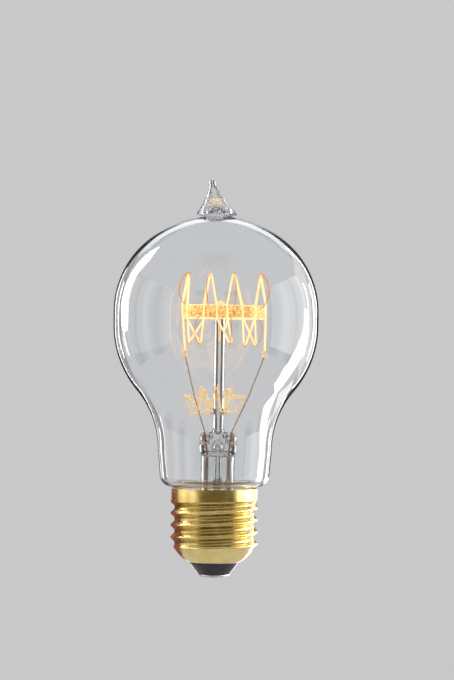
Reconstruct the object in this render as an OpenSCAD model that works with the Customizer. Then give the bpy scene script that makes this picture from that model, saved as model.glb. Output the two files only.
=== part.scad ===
// Filament bulb with a pulled glass tip, a squirrel-cage filament round a glass disc,
// and an Edison screw cap. All lengths are in millimetres.
// The origin is the centre of the worn flat under the centre contact, and +Z runs up to the tip.
// The front is the side that faces -Y.

/* [Globe] */
// Radius of the globe where it is widest
globe_r = 30.9; // [30.5:0.1:31.3]
// Height above the contact at which the globe starts to narrow downward
globe_z = 76; // [75.5:0.1:76.5]
// Height of the upright band round the widest place
band_h = 4; // [3:0.1:5]
// Radius of the arc over the top
dome_r = 33.2; // [32:0.1:34]
// Radius of the arc between the top and the band
brow_r = 28; // [27:0.1:29]
// Radius of the flank's arc under the band
flank_r = 31; // [30.5:0.1:31.5]
// Angle at which the flank's arc turns into the throat
flank_angle = 40; // [39:0.5:41]
// Radius of the neck at the end of the throat
neck_r = 17.2; // [16.9:0.1:17.5]
// Thickness of the blown glass
glass_wall = 0.8; // [0.6:0.05:1]

/* [Pulled tip] */
// Height of the tip above the globe
tip_h = 11.1; // [9:0.1:12]
// Radius of the tip's flared foot
tip_foot_r = 6.1; // [5.5:0.1:6.5]
// Sideways lean of the tip from foot to end
tip_lean = 1.6; // [0:0.1:2]
// Distance of the tip's foot from the lamp's axis
tip_shift = 0; // [0:0.1:0.4]

/* [Cap] */
// Height of the screw shell's rim above the contact
cap_h = 27; // [27:0.1:27.5]
// Radius over the thread's crests
crest_r = 13.15; // [13.1:0.05:13.25]
// Depth of the thread from crest to root
thread_depth = 1.2; // [1:0.05:1.25]
// Pitch of the thread
pitch = 3.63; // [3.6:0.01:3.66]
// Radius of the plain skirt above the thread
skirt_r = 12.93; // [12.9:0.01:13]
// Thickness of the brass sheet
sheet = 0.3; // [0.25:0.01:0.35]

/* [Stem] */
// Lean of the whole stem towards +X, in degrees
stem_lean = 0.4; // [0:0.05:0.6]
// Distance of the stem's axis from the lamp's axis, at the seal
stem_shift = 0.8; // [0.4:0.05:0.8]
// Radius of the stem tube inside the neck
stem_tube_r = 5.1; // [4.9:0.05:5.2]
// Radius of the glass rod that carries the disc
rod_r = 1.68; // [1.5:0.02:1.8]
// Width of the pinch
pinch_w = 11.4; // [11:0.1:11.8]
// Thickness of the pinch
pinch_t = 4.4; // [4.2:0.1:4.8]

/* [Cage] */
// Radius of the glass disc
disc_r = 12.4; // [12.2:0.05:12.5]
// Thickness of the glass disc
disc_t = 4.2; // [3.8:0.1:4.4]
// Distance from the rod's axis to the disc's axis
disc_shift = 1.15; // [1:0.05:1.3]
// Radius of the filament strand
strand_r = 0.34; // [0.2:0.02:0.34]
// Radius at which the strands hang on the upper hooks
top_hook_r = 11.75; // [11.6:0.05:11.9]
// Radius at which the strands hang on the lower hooks
low_hook_r = 12.25; // [12.15:0.05:12.35]
// How far the anchor wires bow outward between the disc and the hooks
anchor_bow = 3.2; // [2.4:0.1:3.6]

/* [Wire crown] */
// Distance of the crown's left arm from the rod's axis
crown_left = 10.1; // [9.7:0.1:10.3]
// Distance of the crown's right arm from the rod's axis
crown_right = 8.1; // [7.9:0.05:8.2]
// Distance of the crown's front and back from the rod's axis
crown_depth = 8; // [7.6:0.1:8.4]
// Height from the low bends to the peaks
crown_h = 7; // [6.6:0.1:7.2]

/* [Hidden] */
$fn = 48;
eps = 0.01;
touch = 0.02;

// Globe outline above the band, as arcs joined where their tangents meet
brow_c = [globe_r - brow_r, globe_z + band_h];
brow_angle = acos(brow_c[0] / (dome_r - brow_r));
dome_c = [0, brow_c[1] - (dome_r - brow_r) * sin(brow_angle)];
top_z = dome_c[1] + dome_r;

// Heights up the lamp
tip_z = top_z + tip_h;
disc_z = 77.9;
disc_top_z = disc_z + disc_t;
top_hook_z = 91;
low_hook_z = 70.4;
clamp_z = 67.5;
pinch_top_z = 44;
pinch_flat_z = 38.5;
pinch_base_z = 36.6;
seal_z = 21.6;
blow_hole_z = 39.5;

// Globe outline under the band
flank_c = [globe_r - flank_r, globe_z];
throat_r = (flank_c[0] + flank_r * cos(flank_angle) - neck_r) / (1 - cos(flank_angle));
throat_c = [neck_r + throat_r, globe_z - (flank_r + throat_r) * sin(flank_angle)];
heel_gap = 0.5;
heel_r = 3.3;
neck_draw = 0.7;
heel_c = [neck_r - neck_draw - heel_r, cap_h + heel_gap + heel_r];
tuck_r = 1.4;
sleeve_r = 11;
tuck_c = [sleeve_r + tuck_r, cap_h + heel_gap - tuck_r];
sleeve_end_z = seal_z - 1;
tip_hole_r = 2.4;

// Pulled tip
tip_wall = 0.8;
tip_neck_r = 0.95;
tip_ball_r = 1.05;
tip_ball_z = tip_z - tip_ball_r;
tip_neck_z = tip_z - 1.6;
tip_foot_z = top_z + 0.6;
tip_seat_r = 4.2;
tip_sweep = 1.3;

// Cap
shell_foot_r = 7.5;
shell_foot_z = 4.7;
shoulder_z = 10.2;
shoulder_power = 1.48;
thread_mid_r = crest_r - thread_depth / 2;
crest_z = 21.2;
thread_fade_low = [8.4, 10];
thread_fade_high = [22.2, 23.6];
skirt_start_z = 21.5;
crest_sharpness = 0.12;
rows_a_turn = 8;
columns = 40;
insulator_foot_r = 5;
insulator_foot_z = 1.15;
insulator_rim_r = 7.5;
insulator_block_r = 9.3;
insulator_top_z = 8.6;
plate_z = 0.3;
plate_r = 4.8;
eyelet_r = 1.1;
eyelet_bore_r = 0.75;
eyelet_top_z = 4.2;
solder_r = 2.2;
solder_flat_r = 1.2;
solder_top_z = 2.4;
side_angle = 118;
side_solder_z = 25.9;
side_solder_r = 0.95;
cement_z = [23.7, 26.7];
cement_inset = 0.03;

// Stem
tube_wall = 0.85;
flare_bend_r = 4.5;
flare_rim_w = 2.2;
flare_rim_h = 0.95;
flare_rim_r = 10.6;
flare_top_z = seal_z + 0.4;
pinch_corner_r = 1.9;
rod_root_r = 2.2;
button_top_z = disc_top_z + 1.6;
disc_edge_r = 0.7;
exhaust_r = 1.4;
exhaust_bore_r = 0.85;
exhaust_end_z = 15;

// Wires
anchor_r = 0.13;
anchor_root_r = disc_r - 1.8;
hook_loop_r = 0.6;
hook_gap = 0.03;
lead_r = 0.22;
outer_lead_r = 0.19;
seal_wire_r = 0.28;
seal_wire_drop = 0.15;
lead_x = 4.1;
lead_low_x = 3;
lead_gap = 0.12;
clamp_r = 0.8;
clamp_h = 2.2;
clamp_grip = 0.7;
clamp_left_r = 11.5;
clamp_right_r = 12.5;
clamp_angle = 88.1;
anchor_step = 0.5;
bow_steps = 8;
loop_start = 50;
loop_end = 325;
loop_steps = 10;
anchor_sides = 6;
rim_r = disc_r + strand_r + 0.04;
wire_sides = 8;

// Crown round the rod
crown_low_z = 50.4;
crown_arm_z = 55.2;
crown_leg_z = 49.4;
crown_shift = -0.25;
crown_leg_y = 1.2;
crown_wire_r = 0.25;
crown_bend_cut = 0.42;
crown_bend_steps = 3;
collar_r = 2.6;
collar_h = 2;
collar_z = 49.2;

// Where the strands hang and where they cross the disc's edges, as angles from the front;
// the lower hooks differ between the front half and the back half
top_angles = [-68, -21, 14, 68];
low_angles = [[-35, 9, 50], [-57, -4, 33]];
low_rises = [0.5, 0.6, 0];
rim_top_angles = [-80, -60, -28, -10, 4, 25, 48, 80];
rim_low_angles = [-74, -60, -28, -9, 5, 27, 46.5, 80];

top_hooks = concat(top_angles, [for (a = top_angles) 180 - a]);
low_hooks = concat(low_angles[0], [for (a = low_angles[1]) 180 - a]);

UPPER_ANCHORS = [for (i = [1:8]) str("upper_anchor_", i)];
LOWER_ANCHORS = [for (i = [1:6]) str("lower_anchor_", i)];

// Points along an arc, from angle a to angle b, without the first one
function arc(c, r, a, b, n) =
    [for (i = [1:n]) let (t = a + (b - a) * i / n) [c[0] + r * cos(t), c[1] + r * sin(t)]];

function reversed(list) = [for (i = [len(list) - 1:-1:0]) list[i]];

function clamped(v) = max(0, min(1, v));

// A point of the cage at a radius and an angle from the front
function cage(r, angle, z) = [r * sin(angle), -r * cos(angle), z];

// The glass outline from the top of the globe to the sleeve's end, at a depth into the wall
function glass_outline(depth) = concat(
    [[0, top_z - depth]],
    arc(dome_c, dome_r - depth, 90, brow_angle, 10),
    arc(brow_c, brow_r - depth, brow_angle, 0, 16),
    [[globe_r - depth, globe_z]],
    arc(flank_c, flank_r - depth, 0, -flank_angle, 12),
    arc(throat_c, throat_r + depth, 180 - flank_angle, 180, 10),
    arc(heel_c, heel_r - depth, 6, -90, 8),
    arc(tuck_c, tuck_r + depth, 90, 180, 6),
    [[sleeve_r - depth, sleeve_end_z]]);

// The stem leans as one piece about its seal in the neck, and stands a little beside the lamp's axis
module on_stem() {
    translate([stem_shift, 0, seal_z]) rotate([0, stem_lean, 0]) translate([0, 0, -seal_z]) children();
}

module on_disc() {
    on_stem() translate([disc_shift, 0, 0]) children();
}

module rod_between(a, b, r) {
    d = b - a;
    length = norm(d);
    translate(a) rotate([0, acos(d[2] / length), atan2(d[1], d[0])]) cylinder(h = length, r = r);
}

function unit(v) = v / norm(v);

function direction(points, i, closed) =
    let (n = len(points))
    let (before = closed || i > 0 ? unit(points[i] - points[(i + n - 1) % n]) : [0, 0, 0])
    let (after = closed || i < n - 1 ? unit(points[(i + 1) % n] - points[i]) : [0, 0, 0])
    unit(before + after);

// A tube along points; across holds a direction at each point that the tube never runs along
module tube(points, across, r, closed = false, sides = wire_sides) {
    n = len(points);
    skin = [for (k = [0:n - 1])
        let (t = direction(points, k, closed), u = unit(cross(t, across[k])), v = cross(t, u))
        for (j = [0:sides - 1]) let (a = 360 * j / sides)
            points[k] + r * (cos(a) * u + sin(a) * v)];
    function at(k, j) = (k % n) * sides + j % sides;
    walls = [for (k = [0:closed ? n - 1 : n - 2]) for (j = [0:sides - 1]) for (half = [0, 1])
        half == 0 ? [at(k, j), at(k + 1, j), at(k, j + 1)] : [at(k, j + 1), at(k + 1, j), at(k + 1, j + 1)]];
    ends = closed ? [] : [
        [for (j = [0:sides - 1]) at(0, j)],
        [for (j = [sides - 1:-1:0]) at(n - 1, j)]];
    polyhedron(skin, concat(walls, ends), convexity = 8);
}

// A closed body from rings, each given as [radius, height, sideways shift]; its ends are points
module ringed(rings, sides) {
    last = len(rings) - 1;
    points = concat(
        [[rings[0][2], 0, rings[0][1]]],
        [for (k = [1:last - 1]) for (i = [0:sides - 1]) let (a = 360 * i / sides)
            [rings[k][2] + rings[k][0] * cos(a), rings[k][0] * sin(a), rings[k][1]]],
        [[rings[last][2], 0, rings[last][1]]]);
    end = len(points) - 1;
    function at(k, i) = 1 + (k - 1) * sides + i % sides;
    faces = concat(
        [for (i = [0:sides - 1]) [0, at(1, i), at(1, i + 1)]],
        [for (k = [1:last - 2]) for (i = [0:sides - 1]) [at(k, i), at(k + 1, i), at(k + 1, i + 1)]],
        [for (k = [1:last - 2]) for (i = [0:sides - 1]) [at(k, i), at(k + 1, i + 1), at(k, i + 1)]],
        [for (i = [0:sides - 1]) [at(last - 1, i), end, at(last - 1, i + 1)]]);
    polyhedron(points, faces, convexity = 4);
}

module glass_envelope() {
    color("lightcyan", 0.35) difference() {
        rotate_extrude() polygon(concat(glass_outline(0), reversed(glass_outline(glass_wall))));
        translate([tip_shift, 0, top_z - 3]) cylinder(h = 6, r = tip_hole_r);
        on_stem() flare_body();
    }
}

// The tip is a hollow cone that sweeps out to an overhanging foot and ends in a small ball
function tip_outer_r(z) = tip_neck_r
    + (tip_foot_r - tip_neck_r) * pow(clamped((tip_neck_z - z) / (tip_neck_z - tip_foot_z)), tip_sweep);

function tip_x(z) = tip_shift - tip_lean * (z - top_z) / tip_h;

function dome_z(r) = dome_c[1] + sqrt(dome_r * dome_r - r * r);

module pulled_tip() {
    hollow_z = tip_z - 2.6;
    inner = [for (t = [0.12:0.22:1]) let (z = hollow_z - t * (hollow_z - tip_foot_z))
        [min(tip_hole_r, max(0.2, tip_outer_r(z) - tip_wall)), z, tip_x(z)]];
    seat = [for (r = [tip_hole_r, tip_seat_r]) [r, dome_z(r - tip_shift) + touch, tip_shift]];
    outer = [for (t = [0:0.1:1]) let (z = tip_foot_z + t * (tip_neck_z - tip_foot_z))
        [tip_outer_r(z), z, tip_x(z)]];
    ball = [for (a = [-30:24:66])
        [tip_ball_r * cos(a), tip_ball_z + tip_ball_r * sin(a), tip_x(tip_ball_z)]];
    color("lightcyan", 0.5) ringed(concat(
        [[0, hollow_z, tip_x(hollow_z)]],
        inner,
        seat,
        [[tip_foot_r - 0.35, tip_foot_z - 0.32, tip_shift]],
        outer,
        ball,
        [[0, tip_z, tip_x(tip_ball_z)]]), 32);
}

// The stem tube flares out at its foot into a flat rim, which is centred in the neck's sleeve
module flare_body() {
    bend = [stem_tube_r + flare_bend_r, flare_top_z + flare_bend_r];
    rotate_extrude() polygon(concat(
        [[stem_tube_r - tube_wall, pinch_base_z], [stem_tube_r, pinch_base_z], [stem_tube_r, bend[1]]],
        arc(bend, flare_bend_r, 180, 270, 8),
        [[bend[0], flare_top_z - tube_wall]],
        arc(bend, flare_bend_r + tube_wall, 270, 180, 8)));
    translate([-stem_shift, 0, flare_top_z - tube_wall / 2]) difference() {
        cylinder(h = flare_rim_h, r = flare_rim_r, center = true);
        cylinder(h = flare_rim_h + 1, r = flare_rim_r - flare_rim_w, center = true);
    }
}

module stem_flare() {
    color("lightcyan", 0.5) on_stem() flare_body();
}

// The pinch closes the stem tube on the leads, and its blow hole leads down to the exhaust tube
module pinch_corner(side, z) {
    translate([side * (pinch_w / 2 - pinch_corner_r), 0, z])
        scale([1, pinch_t / 2 / pinch_corner_r, 1]) sphere(r = pinch_corner_r, $fn = 32);
}

module pinch_body() {
    hull() {
        translate([0, 0, pinch_base_z]) cylinder(h = 0.4, r = stem_tube_r, $fn = 32);
        for (side = [-1, 1]) pinch_corner(side, pinch_flat_z);
    }
    hull() for (side = [-1, 1]) for (z = [pinch_flat_z, pinch_top_z - pinch_corner_r]) pinch_corner(side, z);
}

module stem_pinch() {
    color("lightcyan", 0.5) on_stem() difference() {
        pinch_body();
        translate([0, 0, pinch_base_z - 1]) cylinder(h = blow_hole_z - pinch_base_z + 1, r = exhaust_bore_r);
        translate([0, 0, blow_hole_z]) rotate([90, 0, 0]) cylinder(h = pinch_t, r = exhaust_bore_r);
        for (side = [-1, 1]) seal_wire_path(side);
        rod_body();
    }
}

module exhaust_tube() {
    length = pinch_base_z - exhaust_end_z;
    color("lightcyan", 0.5) on_stem() rotate_extrude() polygon(concat(
        [[exhaust_bore_r, pinch_base_z], [exhaust_r, pinch_base_z], [exhaust_r, exhaust_end_z + exhaust_r]],
        arc([0, exhaust_end_z + exhaust_r], exhaust_r, 0, -90, 6),
        [[0, pinch_base_z - length * 0.9], [exhaust_bore_r, pinch_base_z - length * 0.84]]));
}

// The rod grows out of the pinch, goes through the disc and ends in a rounded button
module rod_body() {
    root_z = pinch_top_z - 0.6;
    rotate_extrude() polygon(concat(
        [[0, root_z], [rod_root_r, root_z], [rod_root_r - 0.5, pinch_top_z + 0.4], [rod_r, pinch_top_z + 2]],
        [[rod_r, button_top_z - rod_r]],
        arc([0, button_top_z - rod_r], rod_r, 0, 90, 6)));
}

module glass_rod() {
    color("lightcyan", 0.5) on_stem() rod_body();
}

// The crown is one wire bent to and fro round the rod, carried by two legs from a glass collar;
// each bend is given as [x, y, height], from the left arm round the front to the right arm and back
function crown_bends(peak_z) = [
    [-crown_left, crown_leg_y, crown_arm_z],
    [-7, -4.6, crown_arm_z - 1.8],
    [-6.5, -5.3, crown_low_z + 0.5],
    [-5.8, -5.8, crown_low_z + 0.5],
    [-5.5, -6.1, peak_z],
    [-4.7, -6.5, peak_z],
    [-3.2, -crown_depth + 0.8, crown_low_z],
    [-2.4, -crown_depth + 0.6, crown_low_z],
    [-0.9, -crown_depth, peak_z - 0.2],
    [0, -crown_depth, peak_z - 0.2],
    [1, -crown_depth + 0.2, crown_low_z],
    [1.9, -crown_depth + 0.4, crown_low_z],
    [2.3, -crown_depth + 0.8, peak_z - 0.5],
    [4, -crown_depth + 1.6, peak_z - 0.3],
    [3.6, -5.2, crown_arm_z - 0.9],
    [crown_right, crown_leg_y, crown_arm_z - 0.1],
    [3.6, 5.2, crown_arm_z],
    [4.4, crown_depth - 1.6, peak_z - 0.4],
    [3.6, crown_depth - 1.2, peak_z - 0.4],
    [3, crown_depth - 0.8, crown_low_z],
    [2.2, crown_depth - 0.4, crown_low_z],
    [1.3, crown_depth, peak_z + 0.5],
    [0.5, crown_depth, peak_z + 0.5],
    [-1.4, crown_depth - 0.3, crown_low_z],
    [-2.2, crown_depth - 0.5, crown_low_z],
    [-3.9, crown_depth - 1.3, peak_z - 0.9],
    [-4.7, crown_depth - 1.7, peak_z - 0.9],
    [-6, 5.7, crown_low_z + 0.5],
    [-6.7, 5.2, crown_low_z + 0.5],
    [-7, 4.6, crown_arm_z - 0.4]];

// The bend at point i of a closed line, as a short curve
function rounded(points, i) =
    let (n = len(points), p = points[i])
    let (before = points[(i + n - 1) % n] - p, after = points[(i + 1) % n] - p)
    let (from = p + unit(before) * min(crown_bend_cut, norm(before) * 0.45))
    let (to = p + unit(after) * min(crown_bend_cut, norm(after) * 0.45))
    [for (k = [0:crown_bend_steps]) let (t = k / crown_bend_steps)
        (1 - t) * (1 - t) * from + 2 * t * (1 - t) * p + t * t * to];

crown_line = [for (bend = crown_bends(crown_low_z + crown_h)) bend + [crown_shift, 0, 0]];
crown_points = [for (i = [0:len(crown_line) - 1]) each rounded(crown_line, i)];

module crown_leg(side) {
    arm = side < 0 ? [-crown_left, crown_leg_y, crown_arm_z] : [crown_right, crown_leg_y, crown_arm_z - 0.1];
    foot = side < 0 ? [-7.9, crown_leg_y, crown_leg_z] : [5.6, crown_leg_y, crown_leg_z + 0.6];
    moved = [crown_shift, 0, 0];
    points = [[side * (rod_r + 0.1), crown_leg_y, crown_leg_z + 0.8], foot + moved, arm + moved];
    tube(points, [for (p = points) [0, 1, 0]], crown_wire_r);
}

module crown_wire() {
    color("khaki") on_stem() {
        tube(crown_points, [for (p = crown_points) [p[0], p[1], 0]], crown_wire_r, closed = true);
        for (side = [-1, 1]) crown_leg(side);
    }
}

module crown_collar() {
    slope = collar_h / 5;
    collar_top_z = collar_z + collar_h;
    color("lightcyan", 0.5) on_stem() difference() {
        rotate_extrude() polygon([
            [rod_r, collar_z],
            [collar_r - slope, collar_z],
            [collar_r, collar_z + slope],
            [collar_r, collar_top_z - slope],
            [collar_r - slope, collar_top_z],
            [rod_r, collar_top_z]]);
        for (side = [-1, 1]) crown_leg(side);
    }
}

module spreader_disc() {
    color("orange", 0.6) difference() {
        on_disc() rotate_extrude() polygon(concat(
            [[0, disc_z], [disc_r - disc_edge_r, disc_z]],
            arc([disc_r - disc_edge_r, disc_z + disc_edge_r], disc_edge_r, -90, 0, 4),
            arc([disc_r - disc_edge_r, disc_top_z - disc_edge_r], disc_edge_r, 0, 90, 4),
            [[0, disc_top_z]]));
        on_stem() rod_body();
        for (a = top_hooks) upper_anchor(a);
        for (i = [0:5]) lower_anchor(i);
    }
}

// Each half of the filament hangs from clamp to clamp, over four upper and under three lower hooks
hook_bend_r = anchor_r + strand_r + hook_gap;

// The strand's bend round a hook; up is 1 over an upper hook and -1 under a lower one
function hook_bend(r, angle, z, up) = [for (a = [180:-45:0])
    cage(r, angle, z + up * hook_bend_r * (sin(a) - 1)) + hook_bend_r * cos(a) * [cos(angle), sin(angle), 0]];

function strand(i, half) =
    let (k = floor(i / 2))
    let (at_top = cage(rim_r, rim_top_angles[i], disc_top_z), at_low = cage(rim_r, rim_low_angles[i], disc_z))
    i % 2 == 0
        ? concat([at_low, at_top], hook_bend(top_hook_r, top_angles[k], top_hook_z, 1))
        : concat([at_top, at_low],
            k < 3 ? hook_bend(low_hook_r, low_angles[half][k], low_hook_z + low_rises[k], -1) : []);

function clamp_distance(side) = side < 0 ? clamp_left_r : clamp_right_r;

function strand_end(side) =
    cage(clamp_distance(side), side * clamp_angle, clamp_z + clamp_h / 2 - clamp_grip);

module strand_tube(half) {
    points = concat([strand_end(-1)], [for (i = [0:7]) each strand(i, half)], [strand_end(1)]);
    tube(points, [for (p = points) [p[0], p[1], 0]], strand_r);
}

module filament_front() {
    color("gold") on_disc() strand_tube(0);
}

module filament_back() {
    color("gold") on_disc() mirror([0, 1, 0]) strand_tube(1);
}

// The arc from a to b that bulges outward by anchor_bow, in the plane of radius and height
function bow(a, b) =
    let (chord = b - a, half = norm(chord) / 2)
    let (rho = (half * half + anchor_bow * anchor_bow) / (2 * anchor_bow))
    let (out = [abs(chord[1]), -chord[0] * sign(chord[1])] / norm(chord))
    let (c = (a + b) / 2 - out * (rho - anchor_bow))
    concat([a], arc(c, rho, atan2(a[1] - c[1], a[0] - c[0]), atan2(b[1] - c[1], b[0] - c[0]), bow_steps));

// Each anchor bows out from the disc's rim and ends in an open loop that the strand passes through;
// up is 1 for an upper anchor and -1 for a lower one
function anchor_path(r, z, up) =
    let (loop_c = [r, z + up * (hook_loop_r - hook_bend_r)])
    let (entry = loop_c + hook_loop_r * [cos(loop_start), up * sin(loop_start)])
    concat(
        bow([anchor_root_r, (disc_z + disc_top_z) / 2 + up * anchor_step], entry),
        arc(loop_c, hook_loop_r, up * loop_start, up * loop_end, loop_steps));

module anchor_wire(path, angle) {
    tube([for (p = path) cage(p[0], angle, p[1])], [for (p = path) [cos(angle), sin(angle), 0]],
        anchor_r, sides = anchor_sides);
}

module upper_anchor(angle) {
    color("gray") on_disc() anchor_wire(anchor_path(top_hook_r, top_hook_z, 1), angle);
}

module lower_anchor(i) {
    path = anchor_path(low_hook_r, low_hook_z + low_rises[i % 3], -1);
    color("gray") on_disc() anchor_wire(path, low_hooks[i]);
}

// The clamps crimp the filament's ends to the leads; side is -1 on the left and 1 on the right
module filament_clamp(side) {
    color("silver") difference() {
        on_disc() translate([side * clamp_distance(side), 0, clamp_z - clamp_h / 2])
            cylinder(h = clamp_h, r = clamp_r);
        filament_front();
        filament_back();
        inner_lead(side);
    }
}

function clamp_end(side) = [side * clamp_distance(side) + disc_shift, 0, clamp_z - clamp_h / 2 + clamp_grip];

module inner_lead(side) {
    color("silver") on_stem()
        rod_between([side * lead_x, 0, pinch_top_z + lead_gap], clamp_end(side), lead_r);
}

// The seal wire runs through the pinch, where the glass closes on it
module seal_wire_path(side) {
    rod_between(
        [side * lead_low_x, 0, pinch_base_z - seal_wire_drop],
        [side * lead_x, 0, pinch_top_z], seal_wire_r);
}

module seal_wire(side) {
    color("brown") on_stem() seal_wire_path(side);
}

// Where an outer lead is welded under its seal wire
function outer_lead_top(side) = [
    side * lead_low_x + stem_shift + (pinch_base_z - seal_z) * tan(stem_lean), 0,
    pinch_base_z - seal_wire_drop - lead_gap];

// The centre lead drops through the flare to the eyelet in the contact plate
center_lead_points = [
    outer_lead_top(-1),
    [-2.3, 0, 26],
    [-2.3, 0, 15],
    [0, 0, 7],
    [0, 0, 0.8]];

module outer_lead_center() {
    color("goldenrod") tube(center_lead_points, [for (p = center_lead_points) [0, 1, 0]], outer_lead_r);
}

// The side lead turns up outside the neck's sleeve and comes out over the shell's rim
side_direction = [cos(side_angle), sin(side_angle), 0];
function beside(r, z) = side_direction * r + [0, 0, z];

side_lead_points = [
    outer_lead_top(1),
    [3, 0, 26],
    beside(4.5, 20),
    beside(10, 18.6),
    beside(11.3, 19.7),
    beside(11.32, 24.6),
    beside(12.2, 27),
    beside(12.8, 27.24),
    beside(13.16, 26.9),
    beside(13.2, 26.2)];

module outer_lead_side() {
    side_across = [-side_direction[1], side_direction[0], 0];
    color("goldenrod") tube(side_lead_points, [for (p = side_lead_points) side_across], outer_lead_r);
}

module cap_cement() {
    outer_r = skirt_r - sheet - cement_inset;
    tuck_angle = asin((cement_z[1] - tuck_c[1]) / tuck_r);
    color("wheat") difference() {
        rotate_extrude() polygon(concat(
            [[sleeve_r + cement_inset, cement_z[0]], [outer_r, cement_z[0]], [outer_r, cement_z[1]]],
            arc(tuck_c, tuck_r - cement_inset, 180 - tuck_angle, 180, 4)));
        outer_lead_side();
    }
}

// Outline of the brass sheet from its foot to its rim: radius, height, and the sheet's own direction
shoulder = [for (i = [0:5]) let (a = 86 - i * 17.2)
    [shell_foot_r + (thread_mid_r - shell_foot_r) * pow(cos(a), shoulder_power),
        shoulder_z - (shoulder_z - shell_foot_z) * pow(sin(a), shoulder_power), cos(a), sin(a)]];

function thread_share(z) =
    clamped((z - thread_fade_low[0]) / (thread_fade_low[1] - thread_fade_low[0]))
    * clamped((thread_fade_high[1] - z) / (thread_fade_high[1] - thread_fade_high[0]));

function skirt_share(z) = clamped((z - skirt_start_z) / (thread_fade_high[1] - skirt_start_z));

threaded = [for (z = [shoulder_z + pitch / rows_a_turn:pitch / rows_a_turn:thread_fade_high[1]])
    [thread_mid_r + (skirt_r - thread_mid_r) * skirt_share(z), z, 1, 0]];

sheet_rows = concat(shoulder, threaded, [for (z = [24.2, 25.6, cap_h]) [skirt_r, z, 1, 0]]);
sheet_turns = [for (i = [0:columns - 1]) 360 * i / columns];

// The crest is a little sharper than the root, and climbs one pitch a turn, right-handed
function thread_wave(z, angle) =
    let (u = 360 * ((z - crest_z) / pitch - angle / 360))
    cos(u) + crest_sharpness * (cos(2 * u) - 1);

function sheet_point(row, angle, depth) =
    let (r = row[0] + thread_depth / 2 * thread_share(row[1]) * thread_wave(row[1], angle) - depth * row[2])
    [r * cos(angle), r * sin(angle), row[1] + depth * row[3]];

module screw_shell() {
    n = len(sheet_rows);
    points = concat(
        [for (row = sheet_rows) for (a = sheet_turns) sheet_point(row, a, 0)],
        [for (row = reversed(sheet_rows)) for (a = sheet_turns) sheet_point(row, a, sheet)]);
    function at(k, i) = (k % (2 * n)) * columns + i % columns;
    faces = [for (k = [0:2 * n - 1]) for (i = [0:columns - 1]) for (half = [0, 1])
        half == 0 ? [at(k, i), at(k + 1, i), at(k + 1, i + 1)] : [at(k, i), at(k + 1, i + 1), at(k, i + 1)]];
    color("gold") polyhedron(points, faces, convexity = 8);
}

// The glass insulator fills the shell's foot and shows under it as a cone
module cap_insulator() {
    bore_r = eyelet_r + 0.05;
    color("black") rotate_extrude() polygon([
        [bore_r, insulator_foot_z],
        [insulator_foot_r - 0.4, insulator_foot_z],
        [insulator_foot_r, insulator_foot_z + 0.25],
        [insulator_rim_r, shell_foot_z - 0.15],
        [insulator_rim_r - 0.1, shell_foot_z + 0.9],
        [insulator_block_r, insulator_top_z - 1.7],
        [insulator_block_r, insulator_top_z],
        [bore_r, insulator_top_z]]);
}

module contact_plate() {
    round_r = 0.7;
    under_z = insulator_foot_z - eps;
    color("silver") rotate_extrude() polygon(concat(
        [[eyelet_bore_r, plate_z], [plate_r - round_r, plate_z]],
        arc([plate_r - round_r, plate_z + round_r], round_r, -90, 0, 4),
        [[plate_r, under_z], [eyelet_r, under_z], [eyelet_r, eyelet_top_z], [eyelet_bore_r, eyelet_top_z]]));
}

// Solder fills the eyelet and is worn flat where a lampholder's contact presses on it
module contact_solder() {
    color("silver") difference() {
        rotate_extrude() polygon([
            [0, 0],
            [solder_flat_r, 0],
            [solder_r - 0.25, plate_z * 0.55],
            [solder_r, plate_z - eps],
            [eyelet_bore_r - eps, plate_z - eps],
            [eyelet_bore_r - eps, solder_top_z],
            [0, solder_top_z]]);
        outer_lead_center();
    }
}

module side_solder() {
    color("silver") difference() {
        translate(beside(skirt_r, side_solder_z)) sphere(r = side_solder_r, $fn = 96);
        translate([0, 0, side_solder_z - 2]) cylinder(h = 4, r = skirt_r + touch, $fn = 240);
        outer_lead_side();
    }
}

glass_envelope();
pulled_tip();
stem_flare();
stem_pinch();
exhaust_tube();
glass_rod();
spreader_disc();
crown_collar();
crown_wire();
filament_front();
filament_back();
filament_clamp(-1);  // filament_clamp_left
filament_clamp(1);  // filament_clamp_right
inner_lead(-1);  // inner_lead_left
inner_lead(1);  // inner_lead_right
seal_wire(-1);  // seal_wire_left
seal_wire(1);  // seal_wire_right
outer_lead_side();
outer_lead_center();
cap_cement();
screw_shell();
cap_insulator();
contact_plate();
contact_solder();
side_solder();
for (i = [0:7]) upper_anchor(top_hooks[i]);
for (i = [0:5]) lower_anchor(i);
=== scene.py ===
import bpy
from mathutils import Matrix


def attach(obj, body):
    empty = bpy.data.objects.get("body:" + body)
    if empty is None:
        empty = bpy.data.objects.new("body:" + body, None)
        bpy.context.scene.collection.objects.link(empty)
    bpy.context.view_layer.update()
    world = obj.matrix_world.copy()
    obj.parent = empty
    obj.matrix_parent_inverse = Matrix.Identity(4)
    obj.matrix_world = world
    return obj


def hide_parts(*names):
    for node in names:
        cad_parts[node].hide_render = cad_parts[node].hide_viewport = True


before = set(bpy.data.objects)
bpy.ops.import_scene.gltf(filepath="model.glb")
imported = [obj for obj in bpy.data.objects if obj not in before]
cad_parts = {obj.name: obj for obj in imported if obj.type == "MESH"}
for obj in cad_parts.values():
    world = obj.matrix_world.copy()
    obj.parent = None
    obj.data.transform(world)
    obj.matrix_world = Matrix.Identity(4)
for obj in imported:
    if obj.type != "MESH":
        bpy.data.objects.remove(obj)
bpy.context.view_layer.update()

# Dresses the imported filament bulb: fine glass, a glowing filament, a rolled brass cap, camera and light.
# Shapes are written in millimetres, in the CAD frame, and become metres when a mesh is made.
# The front of the lamp faces -Y, and the stem leans a little to +X.

from math import acos, asin, atan2, copysign, cos, degrees, exp, hypot, pi, radians, sin, sqrt, tan, tau

import bmesh
import bpy
from mathutils import Matrix, Vector, noise

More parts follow.
